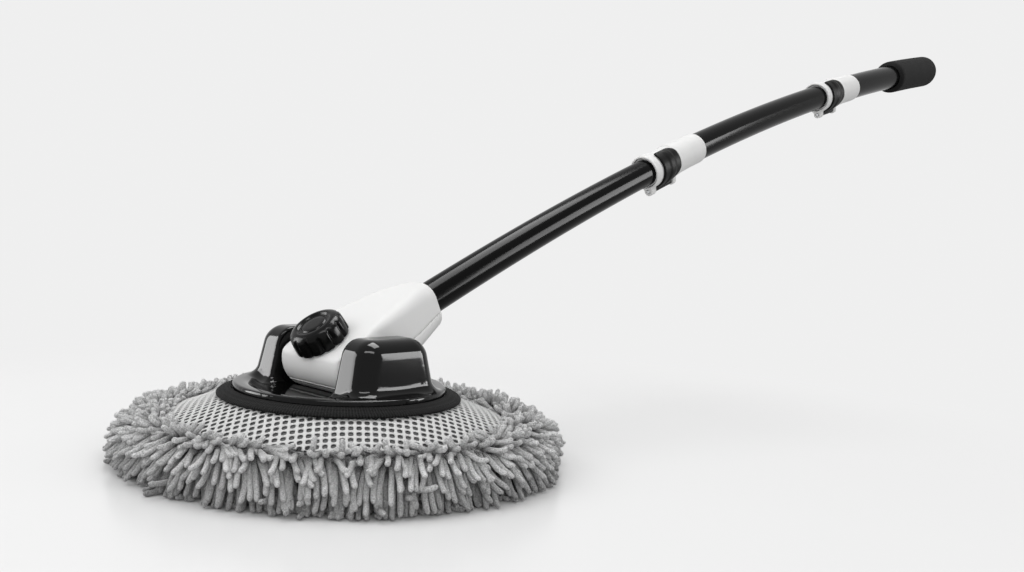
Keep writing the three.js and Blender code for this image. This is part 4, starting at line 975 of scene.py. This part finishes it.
def lock_pieces(label, inner_tube, start, body, lever_body):
    """A collar and its lever, round an inner tube of that radius, from that place along the pole."""
    jaw_bore = inner_tube + 1.5
    recess = jaw_bore + 1.1
    lever_inner = recess + 0.4
    pin_drop = lever_inner + 3.0
    ring = recess + 0.9
    sleeve_bore = inner_tube + 1.15
    sleeve = inner_tube + 2.4

    def step_at(x, place):
        share = np.clip((x - place) / 0.9 + 0.5, 0, 1)
        return share * share * (3 - 2 * share)

    def pin_hole(y, z):
        return pin_hole_radius - np.hypot(y, z + pin_drop)

    def boss(x, y, z, first, last):
        below = np.clip(-z, 0, pin_drop)
        post = np.hypot(y, z + below) - boss_radius
        return soft_max(post, np.abs(x - (first + last) / 2) - (last - first) / 2, 0.8)

    def collar_distance(x, y, z):
        radius = np.hypot(y, z)
        waist = step_at(x, lever_start - 0.7) - step_at(x, lever_end + 0.7)
        outside = ring - (ring - recess) * waist
        taper = 0.6 * np.clip((x - rib_end) / 20, 0, 1)
        outside = outside - (ring - sleeve - 0.6) * step_at(x, rib_end) - taper
        shape = soft_max((radius - outside) * 0.85, np.maximum(-x, x - lock_length), 1.6)
        shape = soft_min(shape, soft_max(boss(x, y, z, 1.6, lever_start - lever_gap), -x, 0.5), 2.2)
        shape = soft_min(shape, boss(x, y, z, lever_end + lever_gap, rib_end + 1.2), 1.6)
        bore = np.where(x < jaw_length, jaw_bore, sleeve_bore)
        shape = soft_max(shape, bore - radius, 0.8)
        across = y * math.cos(slit_turn) + z * math.sin(slit_turn)
        outwards = z * math.cos(slit_turn) - y * math.sin(slit_turn)
        slit = np.maximum(np.abs(across) - slit_half, -outwards)
        shape = soft_max(shape, -np.maximum(slit, x - jaw_length + 3), 0.5)
        shape = np.maximum(shape, pin_hole(y, z))
        lever_room = np.maximum(np.abs(x - lever_middle) - lever_width / 2 - lever_gap, recess - radius)
        return soft_max(shape, -lever_room, 0.6)

    def on_pole(points):
        return from_pole(points + np.array([start, 0, 0]))

    collar = moulding(label + "_collar", collar_distance, (-2, -20, -25), (85, 20, 20), collar_step, white,
                      on_pole)
    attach(collar, body)
    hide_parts(label + "_lock_collar")

    def lever_distance(x, y, z):
        radius = np.hypot(y, z)
        turn = np.mod(np.arctan2(-y, -z) + 0.6, 2 * math.pi) - 0.6
        from_tip = np.clip((lever_sweep - turn) / 0.52, 0, 1)
        from_root = np.clip((turn + 0.1) / 1.5, 0, 1)
        rounded = 0.5 + 0.5 * np.sqrt(np.maximum(1 - (1 - from_tip) ** 2, 0))
        tapered = 0.36 + 0.64 * from_root * from_root * (3 - 2 * from_root)
        half_width = lever_width / 2 * np.minimum(rounded, tapered)
        across = np.abs(x - lever_start - half_width)
        ridge = np.clip(1.35 - across / np.maximum(half_width * 0.34, 1), 0, 1) * np.clip(from_tip * 2, 0, 1)
        outer = lever_inner + lever_thickness + ridge * ridge * (3 - 2 * ridge) * 0.9
        band = soft_max((radius - outer) * 0.85, lever_inner - radius, 0.9)
        band = soft_max(band, (across - half_width) * 0.8, 1.6)
        band = soft_max(band, np.maximum(turn - lever_sweep, 0.02 - turn) * lever_inner, 1.4)
        hub = soft_max(np.hypot(y, z + pin_drop) - 2.9, np.abs(x - lever_middle) - lever_width / 2, 1.0)
        shape = soft_min(band, hub, 1.6)
        shape = np.maximum(shape, lever_inner - 0.1 - radius)
        return np.maximum(shape, pin_hole(y, z))

    lever = moulding(label + "_lever", lever_distance, (7, -22, -25), (39, 8, 22), lever_step, black_satin,
                     on_pole)
    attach(lever, lever_body)
    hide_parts(label + "_lock_lever")


lock_pieces("lower", 12.0, lower_lock, "middle_stage", "lower_lever")
lock_pieces("upper", 13.1, upper_lock, "upper_stage", "upper_lever")

# Foam grip: a matt black sleeve of closed-cell foam rubber, pushed over the upper tube and its end plug,
# with a chamfered lower rim and a fully rounded end.

grip_end = grip_start + 115.0
grip_radius, grip_bore, grip_rounding = 19.6, 14.5, 9
plug_radius, plug_depth = 0.4, 4.8
profile = [(grip_start, grip_bore)]
for past, less in ((0, 4.6), (0.5, 3.9), (2.6, 1.1), (4.2, 0.25), (7, 0)):
    profile.append((grip_start + past, grip_radius - less))
for k in range(9):
    angle = k * math.pi / 16
    profile.append((grip_end - grip_rounding * (1 - math.sin(angle)),
                    grip_radius - grip_rounding * (1 - math.cos(angle))))
profile += [(grip_end, 4.0), (grip_end, plug_radius), (grip_end - plug_depth, plug_radius),
            (grip_end - plug_depth, grip_bore)]
foam = moulded("foam_rubber", 0.013, 0.85, spread=0.15, depth=1.0, scale=520.0, Specular_IOR_Level=0.06)
grip = turned_on_pole("grip_sleeve", profile, 72, foam)
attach(grip, "upper_stage")
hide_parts("foam_grip")
